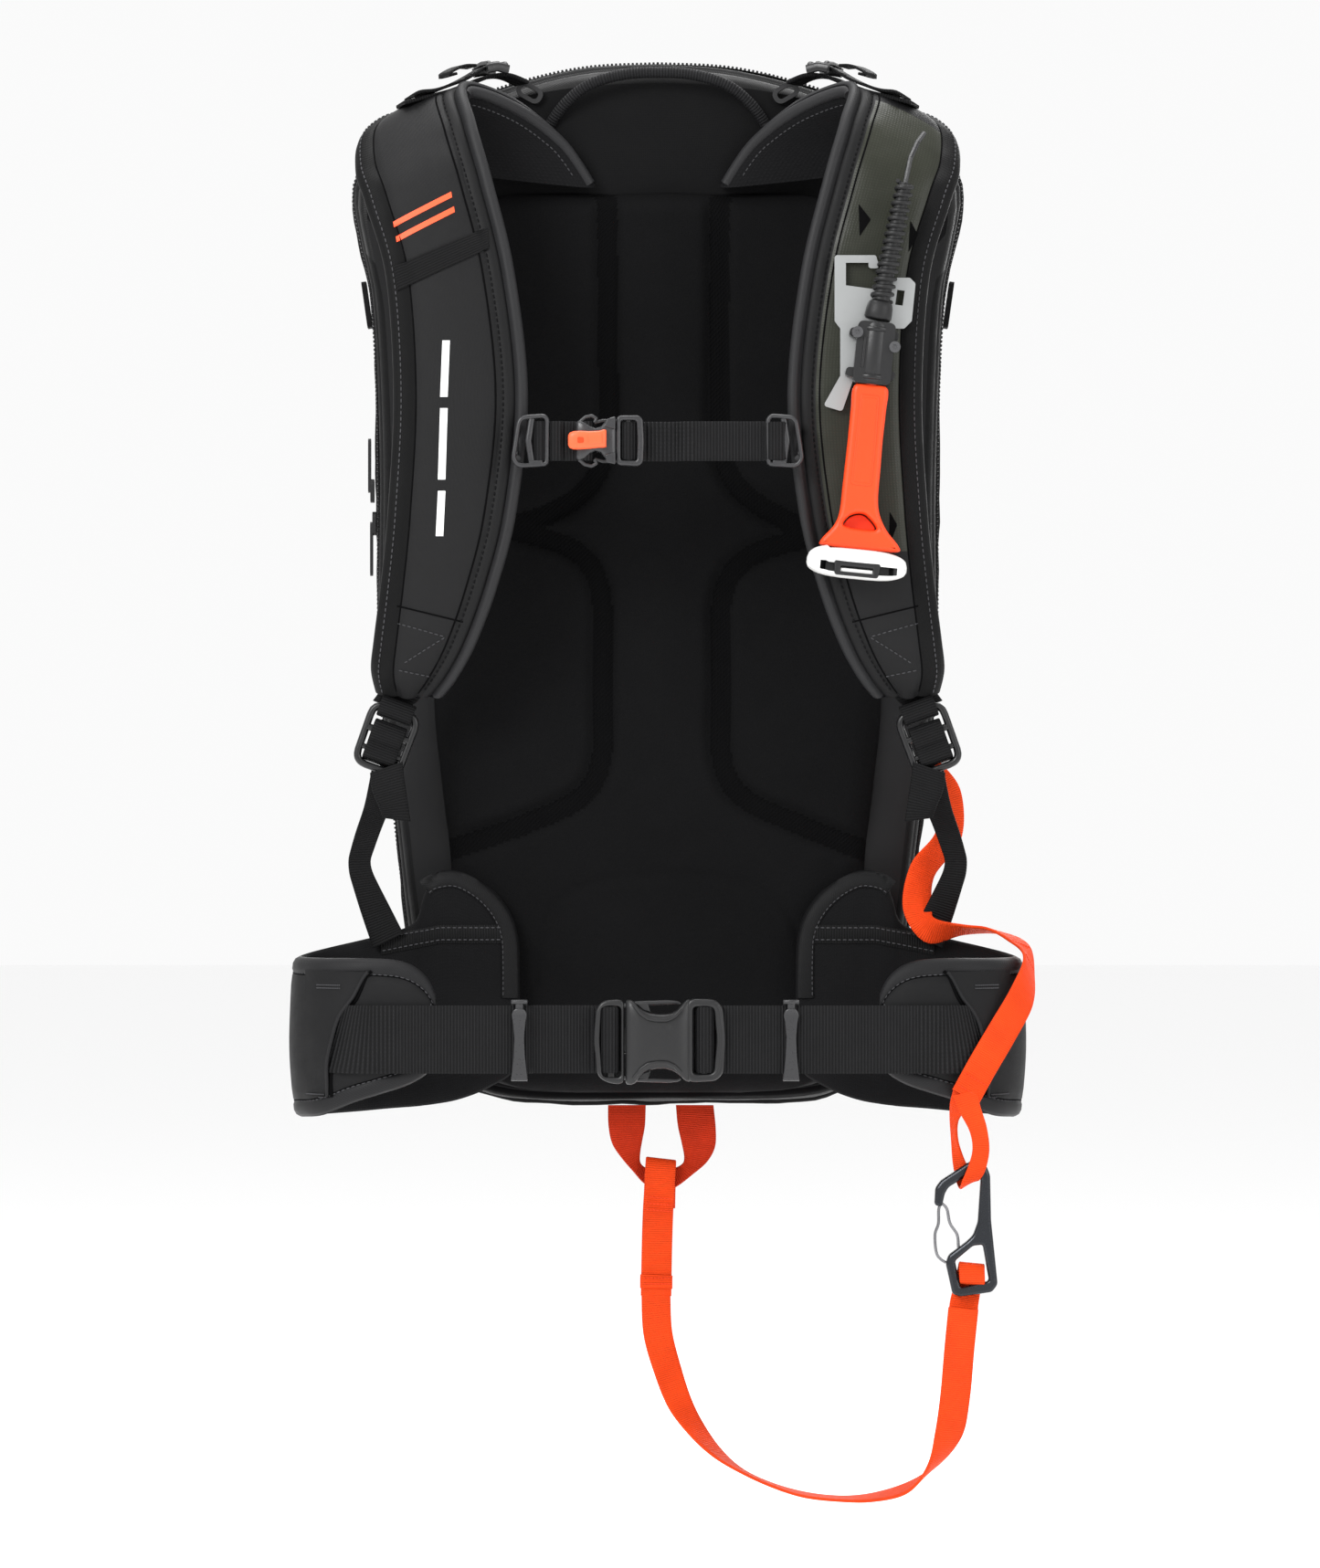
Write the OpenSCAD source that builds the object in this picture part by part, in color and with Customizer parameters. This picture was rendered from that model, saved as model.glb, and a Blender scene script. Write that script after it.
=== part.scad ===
// Avalanche airbag backpack, harness side facing -Y, main compartment towards +Y.
// The pack hangs by its haul loop. The frame's origin is the underside of that
// loop's top, where a hook or a hand carries it.

/* [Pack body] */
// Height of the pack body, bottom seam to top seam
pack_h = 579; // [560:1:600]
// Half width of the pack body across the shoulders
pack_half_w = 170; // [160:1:180]
// Depth of the zipped compartment behind the zip
shell_depth = 160; // [130:1:180]
// Depth of the frame tray in front of the zip
tray_depth = 30; // [26:1:34]
// Wall of the padded fabric
wall = 3; // [2:0.5:4]

/* [Back panel] */
// Thickness of the moulded foam back panel
panel_t = 14; // [10:1:16]
// Thickness of the plastic frame sheet
sheet_t = 1.5; // [1:0.1:2]
// Width of one aluminium stay
stay_w = 14; // [10:1:20]
// Thickness of one aluminium stay
stay_t = 2.5; // [2:0.1:3]

/* [Shoulder straps] */
// Thickness of a padded shoulder strap
strap_t = 14; // [10:1:14]
// Thickness of webbing
web_t = 1.6; // [1.2:0.1:1.8]
// Width of the chest strap's webbing
chest_web_w = 21; // [19:0.5:22]
// Distance of the chest strap above the pack's bottom
chest_z = 360; // [350:1:370]

/* [Hip belt] */
// Thickness of a padded hip wing
wing_t = 12; // [9:1:12]
// Width of the hip belt's webbing
hip_web_w = 36; // [32:1:37]
// Distance of the hip buckle above the pack's bottom
hip_z = 43; // [41:0.5:45]

/* [Release trigger] */
// Tilt of the trigger's axis from upright, in degrees
trigger_tilt = 5.7; // [0:0.1:8]
// Radius of the trigger's stem
stem_r = 5; // [4:0.1:5.5]
// Radial clearance of the stem in its clamp
stem_gap = 0.05; // [0.02:0.01:0.1]
// Width of the trigger's round grip cap
cap_w = 51; // [44:1:54]

/* [Leg loop] */
// Width of the leg loop's webbing
leg_web_w = 16; // [14:1:18]
// Height of the leg loop's carabiner
carabiner_h = 72; // [68:1:76]

/* [Carry loop] */
// Radius of the rolled webbing of the haul loop
haul_r = 3; // [2.5:0.1:3.5]

/* [Hidden] */

// origin of the frame, in the pack's own coordinates
origin = [0, -12, 563];

// ---------- curves and skins ----------
function unit(v) = v / norm(v);
function cr(a, b, c, d, t) = 0.5 * (2 * b + (c - a) * t + (2 * a - 5 * b + 4 * c - d) * t * t
  + (3 * b - a - 3 * c + d) * t * t * t);
// open smooth curve through P, n steps a span
function smooth(P, n) = [for (i = [0:len(P) - 2]) for (k = [0:n - 1])
  cr(P[max(i - 1, 0)], P[i], P[i + 1], P[min(i + 2, len(P) - 1)], k / n), P[len(P) - 1]];
function mid(A, B, i) = (A[i] + B[i]) / 2;
function tangent(A, B, i) = unit(mid(A, B, min(i + 1, len(A) - 1)) - mid(A, B, max(i - 1, 0)));
function normal_at(A, B, i) = unit(cross(tangent(A, B, i), B[i] - A[i]));
// one ring of a band whose two edges run along A and B
function band_ring(A, B, i, th, off, c, ins) = let (n = normal_at(A, B, i), w = unit(B[i] - A[i]),
  h = th / 2, a = A[i] + w * ins + n * off, b = B[i] - w * ins + n * off)
  c <= 0 ? [a + n * h, b + n * h, b - n * h, a - n * h]
  : [a + n * (h - c), a + w * c + n * h, b - w * c + n * h, b + n * (h - c),
     b - n * (h - c), b - w * c - n * h, a + w * c - n * h, a - n * (h - c)];
// closed skin over a list of rings
module skin(R) {
  m = len(R[0]); n = len(R);
  polyhedron(points = [for (r = R) each r], faces = concat(
    [[for (j = [0:m - 1]) j]],
    [for (i = [0:n - 2]) for (j = [0:m - 1]) each [
      [i * m + j, (i + 1) * m + j, (i + 1) * m + (j + 1) % m],
      [i * m + j, (i + 1) * m + (j + 1) % m, i * m + (j + 1) % m]]],
    [[for (j = [0:m - 1]) (n - 1) * m + m - 1 - j]]), convexity = 10);
}
// padded or flat band along two edges
module band(A, B, th, off = 0, c = 0, ins = 0, i0 = 0, i1 = -1) {
  skin([for (i = [i0:(i1 < 0 ? len(A) - 1 : i1)]) band_ring(A, B, i, th, off, c, ins)]);
}
// round cord along P
module rod(P, r, sides = 8) {
  R = [for (i = [0:len(P) - 1]) let (
    t = unit(P[min(i + 1, len(P) - 1)] - P[max(i - 1, 0)]),
    u = unit(cross(t, [0, 1, 0.01])), v = cross(t, u))
    [for (k = [0:sides - 1]) P[i] + r * (cos(-360 * k / sides) * u + sin(-360 * k / sides) * v)]];
  skin(R);
}
module placed() translate(-origin) children();
module flip() mirror([1, 0, 0]) children();
// plate in the XZ plane from y0 to y1
module plate(y0, y1) translate([0, y1, 0]) rotate([90, 0, 0]) linear_extrude(y1 - y0) children();
module rrect(w, h, r) offset(r = r, $fn = 24) square([w - 2 * r, h - 2 * r], center = true);

// ---------- pack outline ----------
// right half of the outline, top to bottom, at its fullest depth
half_outline = [[0, 579], [40, 577], [80, 568], [115, 555], [145, 540], [165, 522], [170, 505],
  [166, 480], [160, 450], [157, 400], [156, 340], [156, 280], [155, 230], [151, 190], [146, 150],
  [140, 100], [132, 50], [112, 14], [80, 1], [0, 0]];
right_side = smooth(half_outline, 2);
left_side = [for (i = [len(right_side) - 2:-1:1]) [-right_side[i][0], right_side[i][1]]];
outline = [for (p = concat(right_side, left_side)) [p[0] * pack_half_w / 170, p[1] * pack_h / 579]];
mid_z = 285;
// outline scaled by s, drawn in by d, at depth y
function ring(s, y, d = 0) = [for (p = outline) [p[0] * (s - d / 157), y, mid_z + (p[1] - mid_z) * (s - d / 290)]];
function rev(L) = [for (i = [len(L) - 1:-1:0]) L[i]];
zip_y = tray_depth;
shell_y = [0, 12, 32, 70, 110, 135, 150, 158];
shell_s = [0.985, 0.993, 1.0, 1.0, 0.985, 0.95, 0.89, 0.78];
function sy(k) = zip_y + 0.3 + shell_y[k] * shell_depth / 160;

// ---------- shoulder strap edges, left side ----------
strap_in = [[-34, -9, 504], [-51, -16, 528], [-76, -30, 546], [-101, -46, 553], [-97, -64, 532],
  [-88, -74, 500], [-76, -78, 450], [-69, -78, 385], [-75, -77, 324], [-85, -73, 285],
  [-96, -66, 256], [-106, -58, 238], [-115, -50, 227]];
strap_out = [[-108, -9, 512], [-122, -16, 531], [-143, -30, 538], [-160, -46, 524], [-162, -62, 506],
  [-156, -73, 487], [-145, -78, 448], [-141, -78, 385], [-144, -77, 324], [-148, -73, 285],
  [-152, -66, 256], [-154, -58, 240], [-152, -50, 228]];
strap_n = 2;
SI = smooth(strap_in, strap_n);
SO = smooth(strap_out, strap_n);

// ---------- hip wing centre line: x, y, low edge, high edge ----------
wing = [[-73, -22, 22, 92], [-90, -22, 13, 112], [-112, -21, 6, 128], [-136, -19, 2, 116],
  [-160, -18, 0, 98], [-180, -26, -1, 87], [-191, -46, -2, 83], [-190, -68, -1, 82],
  [-178, -86, 1, 81], [-158, -96, 5, 80], [-138, -98, 9, 77], [-122, -98, 14, 62]];
WB = smooth([for (p = wing) [p[0], p[1], p[2]]], 2);
WT = smooth([for (p = wing) [p[0], p[1], p[3]]], 2);

// ---------- leg loop ----------
leg_route = [[-1, 20, -103], [0, 18, -124], [5, 15, -143], [12, 11, -162], [21, 6, -176],
  [32, 0, -188], [45, -6, -197], [63, -16, -204], [82, -27, -208], [101, -40, -208],
  [119, -52, -205], [136, -64, -198], [148, -74, -185], [155, -82, -168], [158, -88, -148],
  [160, -93, -122], [162, -96, -100]];
// direction of the webbing's width at each route point
leg_width = [[1, 0, 0], [1, 0, 0], [1, 0.3, 0], [0.8, 0.6, 0.3], [0.6, 1, 0.3], [0.3, 1, 0.1],
  [0, 1, 0], [-0.1, 1, 0], [0, 1, 0], [0.1, 1, 0], [0.3, 1, 0.2], [0.4, 0.9, 0.4], [0.6, 0.6, 0.3],
  [1, 0.3, 0], [1, 0, 0], [1, 0, 0], [1, 0, 0]];
function edge(P, W, h) = [for (i = [0:len(P) - 1]) let (
  t = unit(P[min(i + 1, len(P) - 1)] - P[max(i - 1, 0)]),
  w = unit(W[i] - t * (W[i] * t))) P[i] + w * h];
// hip end of the leg loop: leaves the lower webbing, falls behind the wing, rides over its top
hip_loop_route = [[146, -30, 186], [157, -27, 172], [158, -22, 150], [144, -20, 131], [141, -27, 110],
  [148, -36, 97], [167, -29, 97], [187, -28, 97], [201.5, -43, 85], [203, -64, 67], [195.5, -90, 50],
  [174, -112, 34], [163, -114, 14]];
hip_loop_width = [[1, 0, -0.3], [0.9, 0.2, 0.3], [0.9, 0.4, -0.2], [0.8, 0.4, -0.4], [1, 0.2, 0.1],
  [0.6, 0, 0.8], [0.1, -0.2, 1], [-0.1, -0.7, 0.7], [-0.5, -0.6, 0.5], [-0.2, -0.6, 0.8], [-0.4, -0.4, 0.8],
  [-0.8, 0, 0.6], [-1, 0, 0.3]];

// ---------- soft parts of the harness ----------
panel_half = [[0, 501], [60, 500], [92, 496], [108, 480], [116, 440], [119, 380], [118, 300], [121, 226],
  [117, 180], [112, 132], [110, 70], [100, 26], [70, 12], [0, 10]];
panel_side = smooth(panel_half, 2);
panel_outline = concat(panel_side, [for (i = [len(panel_side) - 2:-1:1]) [-panel_side[i][0], panel_side[i][1]]]);
function panel_ring(s, y) = [for (p = panel_outline) [p[0] * s, y, 255 + (p[1] - 255) * (1 - (1 - s) * 0.5)]];
module back_panel() color([0.10, 0.10, 0.11]) placed()
  skin([panel_ring(0.94, -panel_t), panel_ring(0.99, -panel_t + 3), panel_ring(1, 0)]);
module frame_tray() color([0.08, 0.08, 0.09]) placed()
  skin([ring(0.955, 0), ring(0.972, 6), ring(0.985, zip_y), ring(0.985, zip_y, wall), ring(0.955, 2, wall)]);
module frame_sheet() color([0.85, 0.85, 0.82]) placed() translate([0, 0, 265])
  plate(2.3, 2.3 + sheet_t) rrect(230, 440, 40);
module frame_stays() color("silver") placed() for (x = [-70, 70])
  translate([x, 0, 265]) plate(2.6 + sheet_t, 2.6 + sheet_t + stay_t) rrect(stay_w, 420, 6);
module airbag_pack() color([0.95, 0.35, 0.15]) placed()
  translate([0, 55, 478]) plate(-42, 42) rrect(220, 96, 30);
module fan_unit() color([0.25, 0.25, 0.27]) placed() translate([0, 10, 372]) rotate([-90, 0, 0]) {
  difference() {
    cylinder(r = 45, h = 60, $fn = 64);
    translate([0, 0, 12]) cylinder(r = 40, h = 60, $fn = 64);
  }
  translate([0, 0, 12]) cylinder(r = 14, h = 44, $fn = 48);
}
module power_pack() color([0.2, 0.2, 0.22]) placed() translate([0, 0, 262]) plate(10, 48) rrect(150, 84, 10);
module haul_loop() color([0.12, 0.12, 0.13]) placed() {
  lp = [[-62, -3.2, 532], [-58, -5, 540], [-49, -9, 551], [-36, -12, 560], [-18, -12, 565]];
  rod(smooth(concat(lp, [[0, -12, 566]], [for (i = [4:-1:0]) [-lp[i][0], lp[i][1], lp[i][2]]]), 2), haul_r, 10);
}
module strap() {
  band(SI, SO, strap_t, 0, 4);
  // webbing end that carries the ladder lock
  band([[-124, -47.5, 230], [-134, -45.5, 206]], [[-150, -47.5, 230], [-157, -45.5, 206]], 2.4);
}
module shoulder_strap_left() color([0.20, 0.20, 0.22]) placed() strap();
module shoulder_strap_right() color([0.17, 0.17, 0.18]) placed() flip() strap();
module trigger_patch() color([0.20, 0.21, 0.17]) placed() flip()
  band(SI, SO, 0.8, -(strap_t / 2 + 0.7), 0, 9, 8, 17);

// ---------- load lifters ----------
lift_a = [[-70, -14, 562], [-90, -21, 567], [-112, -45, 562], [-136, -55, 551]];
lift_b = [[-78, -2, 562], [-96, -9, 567], [-119, -33, 562], [-141, -42, 552]];
module lifter() band(smooth(lift_a, 2), smooth(lift_b, 2), 2.4);
module lifter_webbing_left() color([0.15, 0.15, 0.16]) placed() lifter();
module lifter_webbing_right() color([0.15, 0.15, 0.16]) placed() flip() lifter();
module lifter_buckles() color([0.25, 0.25, 0.27]) placed() for (m = [0, 1]) mirror([m, 0, 0])
  translate([-91, -16, 566.6]) rotate([0, 3, 22]) difference() {
    cube([11, 21, 8], center = true);
    cube([20, 18, 6], center = true);
  }
module lifter_rings() color([0.3, 0.3, 0.32]) placed() for (m = [0, 1]) mirror([m, 0, 0])
  translate([-70, -4.5, 556]) rotate([0, 30, 0]) plate(-1.6, 1.6) difference() {
    rrect(15, 9, 4);
    rrect(10, 4.4, 2);
  }

// ---------- webbing below the straps ----------
low_a = [[-133, -40, 196], [-137, -38, 178], [-150, -34, 155], [-151, -31, 132], [-147, -29, 112]];
low_b = [[-152, -40, 196], [-156, -36, 178], [-167, -30, 150], [-166, -26, 128], [-156, -29, 104]];
module lower_web() band(smooth(low_a, 2), smooth(low_b, 2), web_t + 0.6);
module lower_webbing_left() color([0.12, 0.12, 0.13]) placed() lower_web();
module lower_webbing_right() color([0.12, 0.12, 0.13]) placed() flip() lower_web();
module ladder_lock() translate([-146, -53, 202]) rotate([0, 20, 0]) plate(-3, 2.5) difference() {
  rrect(27, 36, 8);
  translate([0, 8]) rrect(18, 6, 2.5);
  translate([0, -8]) rrect(18, 11, 4);
}
module ladder_lock_left() color([0.16, 0.16, 0.17]) placed() ladder_lock();
module ladder_lock_right() color([0.16, 0.16, 0.17]) placed() flip() ladder_lock();

// ---------- hip belt ----------
module wing_pad() band(WB, WT, wing_t, 0, 4);
module hip_wing_left() color([0.18, 0.18, 0.20]) placed() wing_pad();
module hip_wing_right() color([0.18, 0.18, 0.20]) placed() flip() wing_pad();
// stabiliser flap sewn over the outside of the wing, above the webbing's end
module wing_flap() band(WB, WT, 1.2, wing_t / 2 + 1.6, 0, 3, 13, 17);
module hip_flap_left() color([0.14, 0.14, 0.15]) placed() wing_flap();
module hip_flap_right() color([0.14, 0.14, 0.15]) placed() flip() wing_flap();
web_y = -106;
hip_path = [[-166, -102, 0], [-160, -104, 0], [-154, -105.2, 0], [-138, -106, 0], [-20, -106, 0]];
// on the prong side the webbing runs behind the frame, so the frame can slide clear of the socket
hip_path_l = [[-166, -102, 0], [-160, -104, 0], [-154, -105.2, 0], [-138, -106, 0], [-71, -106, 0], [-65.6, -103.2, 0], [-60, -103.2, 0], [-20, -103.2, 0]];
module hip_web(path) band([for (p = smooth(path, 2)) [p[0], p[1], hip_z - hip_web_w / 2]],
  [for (p = smooth(path, 2)) [p[0], p[1], hip_z + hip_web_w / 2]], web_t);
module hip_webbing_left() color([0.17, 0.17, 0.18]) placed() hip_web(hip_path_l);
module hip_webbing_right() color([0.17, 0.17, 0.18]) placed() flip() hip_web(hip_path);
// webbing channel through a buckle frame
module channel(x0, x1, w, z) translate([x0, -1.5, z - w / 2 - 0.6]) cube([x1 - x0, 3, w + 1.2]);
module hip_buckle_female() color([0.25, 0.25, 0.27]) placed() translate([0, web_y, 0]) difference() {
  union() {
    plate(-7, 5) polygon([[-16.5, 30.5], [-12, 28.5], [0, 33], [10, 30], [16, 28.5], [16, 57.5], [10, 56],
      [0, 53], [-12, 57.5], [-16.5, 55.5]]);
    translate([26, 0, hip_z]) plate(-4, 4) rrect(20.4, 44, 4);
  }
  channel(17.5, 40, hip_web_w, hip_z);
  // windows over the webbing bars
  for (x = [21.5, 30]) translate([x, 0, hip_z]) plate(-9, 0) rrect(4.6, 34, 1.5);
  // socket for the tongue
  translate([-20, -2.5, hip_z - 8.5]) cube([26, 5, 17]);
}
module hip_buckle_male() color([0.22, 0.22, 0.24]) placed() translate([0, web_y, 0]) difference() {
  union() {
    translate([-25.4, 0, hip_z]) plate(-4, 1.6) rrect(16.4, 44, 4);
    // tongue
    translate([-18, -2, hip_z - 8]) cube([18, 3.6, 16]);
    // spring arms either side of the socket
    for (s = [-1, 1]) plate(-3, 1.6) polygon([[-19, hip_z + s * 21], [-19, hip_z + s * 16.5],
      [-4, hip_z + s * 18.4], [5, hip_z + s * 15.5], [12, hip_z + s * 17.5], [11, hip_z + s * 21.5], [0, hip_z + s * 21.5]]);
  }
  // slots either side of the webbing bar
  for (x = [-29.6, -21.6]) translate([x, 0, hip_z]) plate(-9, 9) rrect(3.6, 34, 1.5);
}
// keeper that gathers the loose end of the webbing
module keeper(x) translate([x, web_y, hip_z]) difference() {
  plate(-3.2, 3.2) rrect(9.6, 43, 2.5);
  translate([-10, -1.8, -hip_web_w / 2 - 0.6]) cube([20, 3.6, hip_web_w + 1.2]);
}
module belt_keeper_left() color([0.28, 0.28, 0.30]) placed() keeper(-73);
module belt_keeper_right() color([0.28, 0.28, 0.30]) placed() keeper(70.5);

// ---------- chest strap ----------
chest_y = -91;
module chest_plate(x0, x1, h, y0, y1, r) translate([(x0 + x1) / 2, chest_y, chest_z]) plate(y0, y1) rrect(x1 - x0, h, r);
module chest_clip() difference() {
  union() {
    chest_plate(-75.5, -59, 28.5, -3, 3.5, 4);
    // hook that runs down the inside of the strap's piping
    translate([-67, chest_y + 3.5, chest_z - 10]) cube([5, 9, 20]);
  }
  translate([-66.5, chest_y - 1.4, chest_z - chest_web_w / 2 - 0.6]) cube([10, 2.8, chest_web_w + 1.2]);
  translate([-71, chest_y, chest_z]) plate(-9, 9) rrect(5.5, 19, 2);
}
module chest_clips() color([0.30, 0.30, 0.32]) placed() { chest_clip(); flip() chest_clip(); }
module chest_web(x0, x1) translate([x0, chest_y - web_t / 2, chest_z - chest_web_w / 2]) cube([x1 - x0, web_t, chest_web_w]);
module chest_webbing_left() color([0.12, 0.12, 0.13]) placed() chest_web(-66, -35);
module chest_webbing_right() color([0.12, 0.12, 0.13]) placed() chest_web(-8.2, 66);
module chest_buckle_female() color([0.28, 0.28, 0.30]) placed() difference() {
  union() {
    chest_plate(-40.5, -22.3, 22, -4.5, 4, 3);
    chest_plate(-43, -35, 27.5, -3, 3, 2);
  }
  translate([-50, chest_y - 1.4, chest_z - chest_web_w / 2 - 0.6]) cube([16, 2.8, chest_web_w + 1.2]);
  translate([-33.5, chest_y - 2, chest_z - 7.5]) cube([20, 4, 15]);
}
module whistle() color([1, 0.42, 0.28]) placed() translate([0, chest_y - 4.6, chest_z]) difference() {
  translate([-36.5, 0, 0.6]) plate(-4.6, 0) rrect(19, 9.6, 2.5);
  translate([-40, -3, 0.6]) plate(-9, 9) circle(r = 1.6, $fn = 24);
}
module chest_buckle_male() color([0.28, 0.28, 0.30]) placed() difference() {
  union() {
    chest_plate(-21.8, -7.3, 28, -3, 3, 3);
    translate([-33, chest_y - 1.6, chest_z - 7]) cube([14, 3.2, 14]);
    for (s = [-1, 1]) translate([0, chest_y, chest_z]) plate(-2.5, 2.5) polygon([[-20, s * 13.8], [-20, s * 11.6],
      [-30, s * 12], [-33.5, s * 11.5], [-34, s * 13.2], [-28, s * 13.8]]);
  }
  translate([-20.6, chest_y - 1.4, chest_z - chest_web_w / 2 - 0.6]) cube([24.1, 2.8, chest_web_w + 1.2]);
  for (x = [-14.5]) translate([x, chest_y, chest_z]) plate(-9, 0) rrect(4.4, 20, 1.5);
}

// ---------- release trigger, on the wearer's left strap ----------
trig = [114.6, -96, 406];
module on_trigger() translate(trig) rotate([0, trigger_tilt, 0]) children();
module dock_plate() color([0.70, 0.71, 0.72]) placed() plate(-88.6, -87.1) difference() {
  offset(r = 1.5, $fn = 24) offset(delta = -1.5) polygon([[94, 459], [116, 459], [118, 452], [112, 452],
    [112, 455], [100, 455], [100, 443], [122, 440], [124, 447], [134, 447], [137, 444], [135, 424],
    [131, 420], [124, 420], [122, 414], [108, 414], [105, 396], [98, 376], [88, 379], [97, 395],
    [97, 420], [94, 424], [94, 438]]);
  translate([128.7, 436.4]) rotate(-8) square([4, 8], center = true);
}
module dock_clamp() color([0.14, 0.14, 0.15]) placed() on_trigger() difference() {
  union() {
    translate([0, 0, 0]) plate(-7, 7) rrect(20, 33, 3);
    for (z = [-11, 10]) translate([-1, 0, z]) plate(-5, 5) rrect(26, 5, 2);
  }
  translate([0, 0, -40]) cylinder(r = stem_r + stem_gap, h = 50, $fn = 64);
  translate([0, 0, 0]) cylinder(r = 1.4, h = 60, $fn = 32);
  for (p = [[-10, 10], [10.4, 4]]) translate([p[0], 0, p[1]]) rotate([90, 0, 0]) cylinder(r = 1.52, h = 40, center = true, $fn = 32);
}
module dock_screws() color("silver") placed() on_trigger() for (p = [[-10, 10], [10.4, 4]])
  translate([p[0], 0, p[1]]) rotate([90, 0, 0]) {
    translate([0, 0, -7]) cylinder(r = 1.5, h = 14.3, $fn = 32);
    difference() {
      translate([0, 0, 7.2]) cylinder(r = 3, h = 2, $fn = 32);
      translate([0, 0, 8]) cylinder(r = 1.4, h = 3, $fn = 6);
    }
  }
boot_path = [[116.4, -96, 424], [120, -96, 440], [126, -96, 468], [132, -95, 497]];
module cable_boot() color([0.13, 0.13, 0.14]) placed() translate(boot_path[0]) rotate([0, 11.5, 0]) {
  difference() {
    union() {
      cylinder(r1 = 7.4, r2 = 6.4, h = 9, $fn = 48);
      for (i = [0:12]) translate([0, 0, 8.9 + i * 5]) {
        cylinder(r = 4.2 - i * 0.06, h = 5.1, $fn = 40);
        translate([0, 0, 1]) cylinder(r = 6.4 - i * 0.17, h = 2.6, $fn = 40);
      }
    }
    translate([0, 0, -1]) cylinder(r = 1.5, h = 90, $fn = 32);
  }
}
module release_cable() color([0.3, 0.3, 0.32]) placed() {
  rod(concat([for (k = [1, 70, 76]) boot_path[0] + k * [sin(11.5), 0, cos(11.5)]],
    [[134, -94, 510], [138, -87, 519], [142, -77, 525]]), 1.4, 8);
}
module grip_outline() polygon([[-9, -17.5], [9, -17.5], [9.2, -45], [9.5, -70], [10.2, -84], [14, -93], [22, -101],
  [-18, -101], [-13.5, -93], [-10, -84], [-9.3, -70], [-9.1, -45]]);
module trigger_handle() color([1, 0.35, 0.2]) placed() on_trigger() {
  difference() {
    plate(-7, 7) offset(r = 1, $fn = 16) offset(delta = -1) grip_outline();
    // finger window above the cap
    translate([0.5, 0, -90.5]) plate(-9, 9) rrect(17, 10, 4.5);
    // recessed grip panel
    translate([0, 0, -46]) plate(-8, -6) rrect(10, 48, 3);
  }
  translate([0, 0, -18]) cylinder(r = stem_r, h = 22, $fn = 64);
}
module trigger_cap() color([0.88, 0.88, 0.88]) placed() on_trigger() difference() {
  hull() {
    translate([0, 0, -104]) plate(-9, 9) translate([2, 0]) rrect(cap_w, 5, 2);
    translate([0, 0, -109]) plate(-11, 9) translate([2, 0]) rrect(cap_w - 3, 10, 4);
    translate([0, 0, -116]) plate(-8, 8) translate([2, 0]) rrect(cap_w - 24, 6, 2);
  }
  translate([2, -12, -116]) cube([22.4, 12, 14], center = true);
}
module trigger_insert() color([0.12, 0.12, 0.13]) placed() on_trigger() translate([2, -8.3, -115.2]) cube([22, 4, 11.6], center = true);

// ---------- zips ----------
function track(y0, y1, out, gap = 0.3) = let (N = len(outline))
  [for (k = [-33:33]) let (i = (k + N) % N, p = outline[i],
    a = [p[0] * (0.985 + gap / 157), mid_z + (p[1] - mid_z) * (0.985 + gap / 290)],
    b = [p[0] * (0.985 + (gap + out) / 157), mid_z + (p[1] - mid_z) * (0.985 + (gap + out) / 290)])
    [[a[0], y0, a[1]], [b[0], y0, b[1]], [b[0], y1, b[1]], [a[0], y1, a[1]]]];
module zip_track_tray() color([0.05, 0.05, 0.05]) placed() skin(track(zip_y - 3.2, zip_y - 0.2, 1.2));
module zip_track_shell() color([0.05, 0.05, 0.05]) placed() skin(track(zip_y + 0.5, zip_y + 3.2, 1, 0.6));
module zip_slider(x, z) translate([x, zip_y, z]) rotate([0, 0, 90]) plate(0, 2) rrect(9, 13, 3);
module zip_pull(x, z, s) translate([x - 1.8, zip_y, z + s * 14]) rotate([0, 0, 90]) plate(0, 1.5) difference() {
  rrect(6.4, 30, 3);
  translate([0, -s * 11]) circle(r = 1.8, $fn = 24);
}
module zip_slider_lower() color([0.1, 0.1, 0.1]) placed() union() { zip_slider(-155.6, 322); zip_pull(-155.6, 322, -1); }
module zip_slider_upper() color([0.1, 0.1, 0.1]) placed() union() { zip_slider(-156.7, 340); zip_pull(-156.7, 340, 1); }

// ---------- zipped compartment ----------
module bag_shell() color([0.07, 0.07, 0.08]) placed() skin(rev(concat(
  [ring(shell_s[7], sy(7))], [for (k = [6:-1:0]) ring(shell_s[k], sy(k))],
  [for (k = [0:6]) ring(shell_s[k], sy(k), wall)], [ring(shell_s[7], sy(7) - wall, wall)])));
module lash_loops() color([0.2, 0.2, 0.2]) placed() for (m = [0, 1]) mirror([m, 0, 0])
  translate([-161.3, 66, 446]) rotate([0, -8, 0]) rotate([0, 0, 90]) plate(0, 2.6) difference() {
    rrect(14, 26, 3);
    translate([0, 0]) rrect(7, 18, 2);
  }

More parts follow.
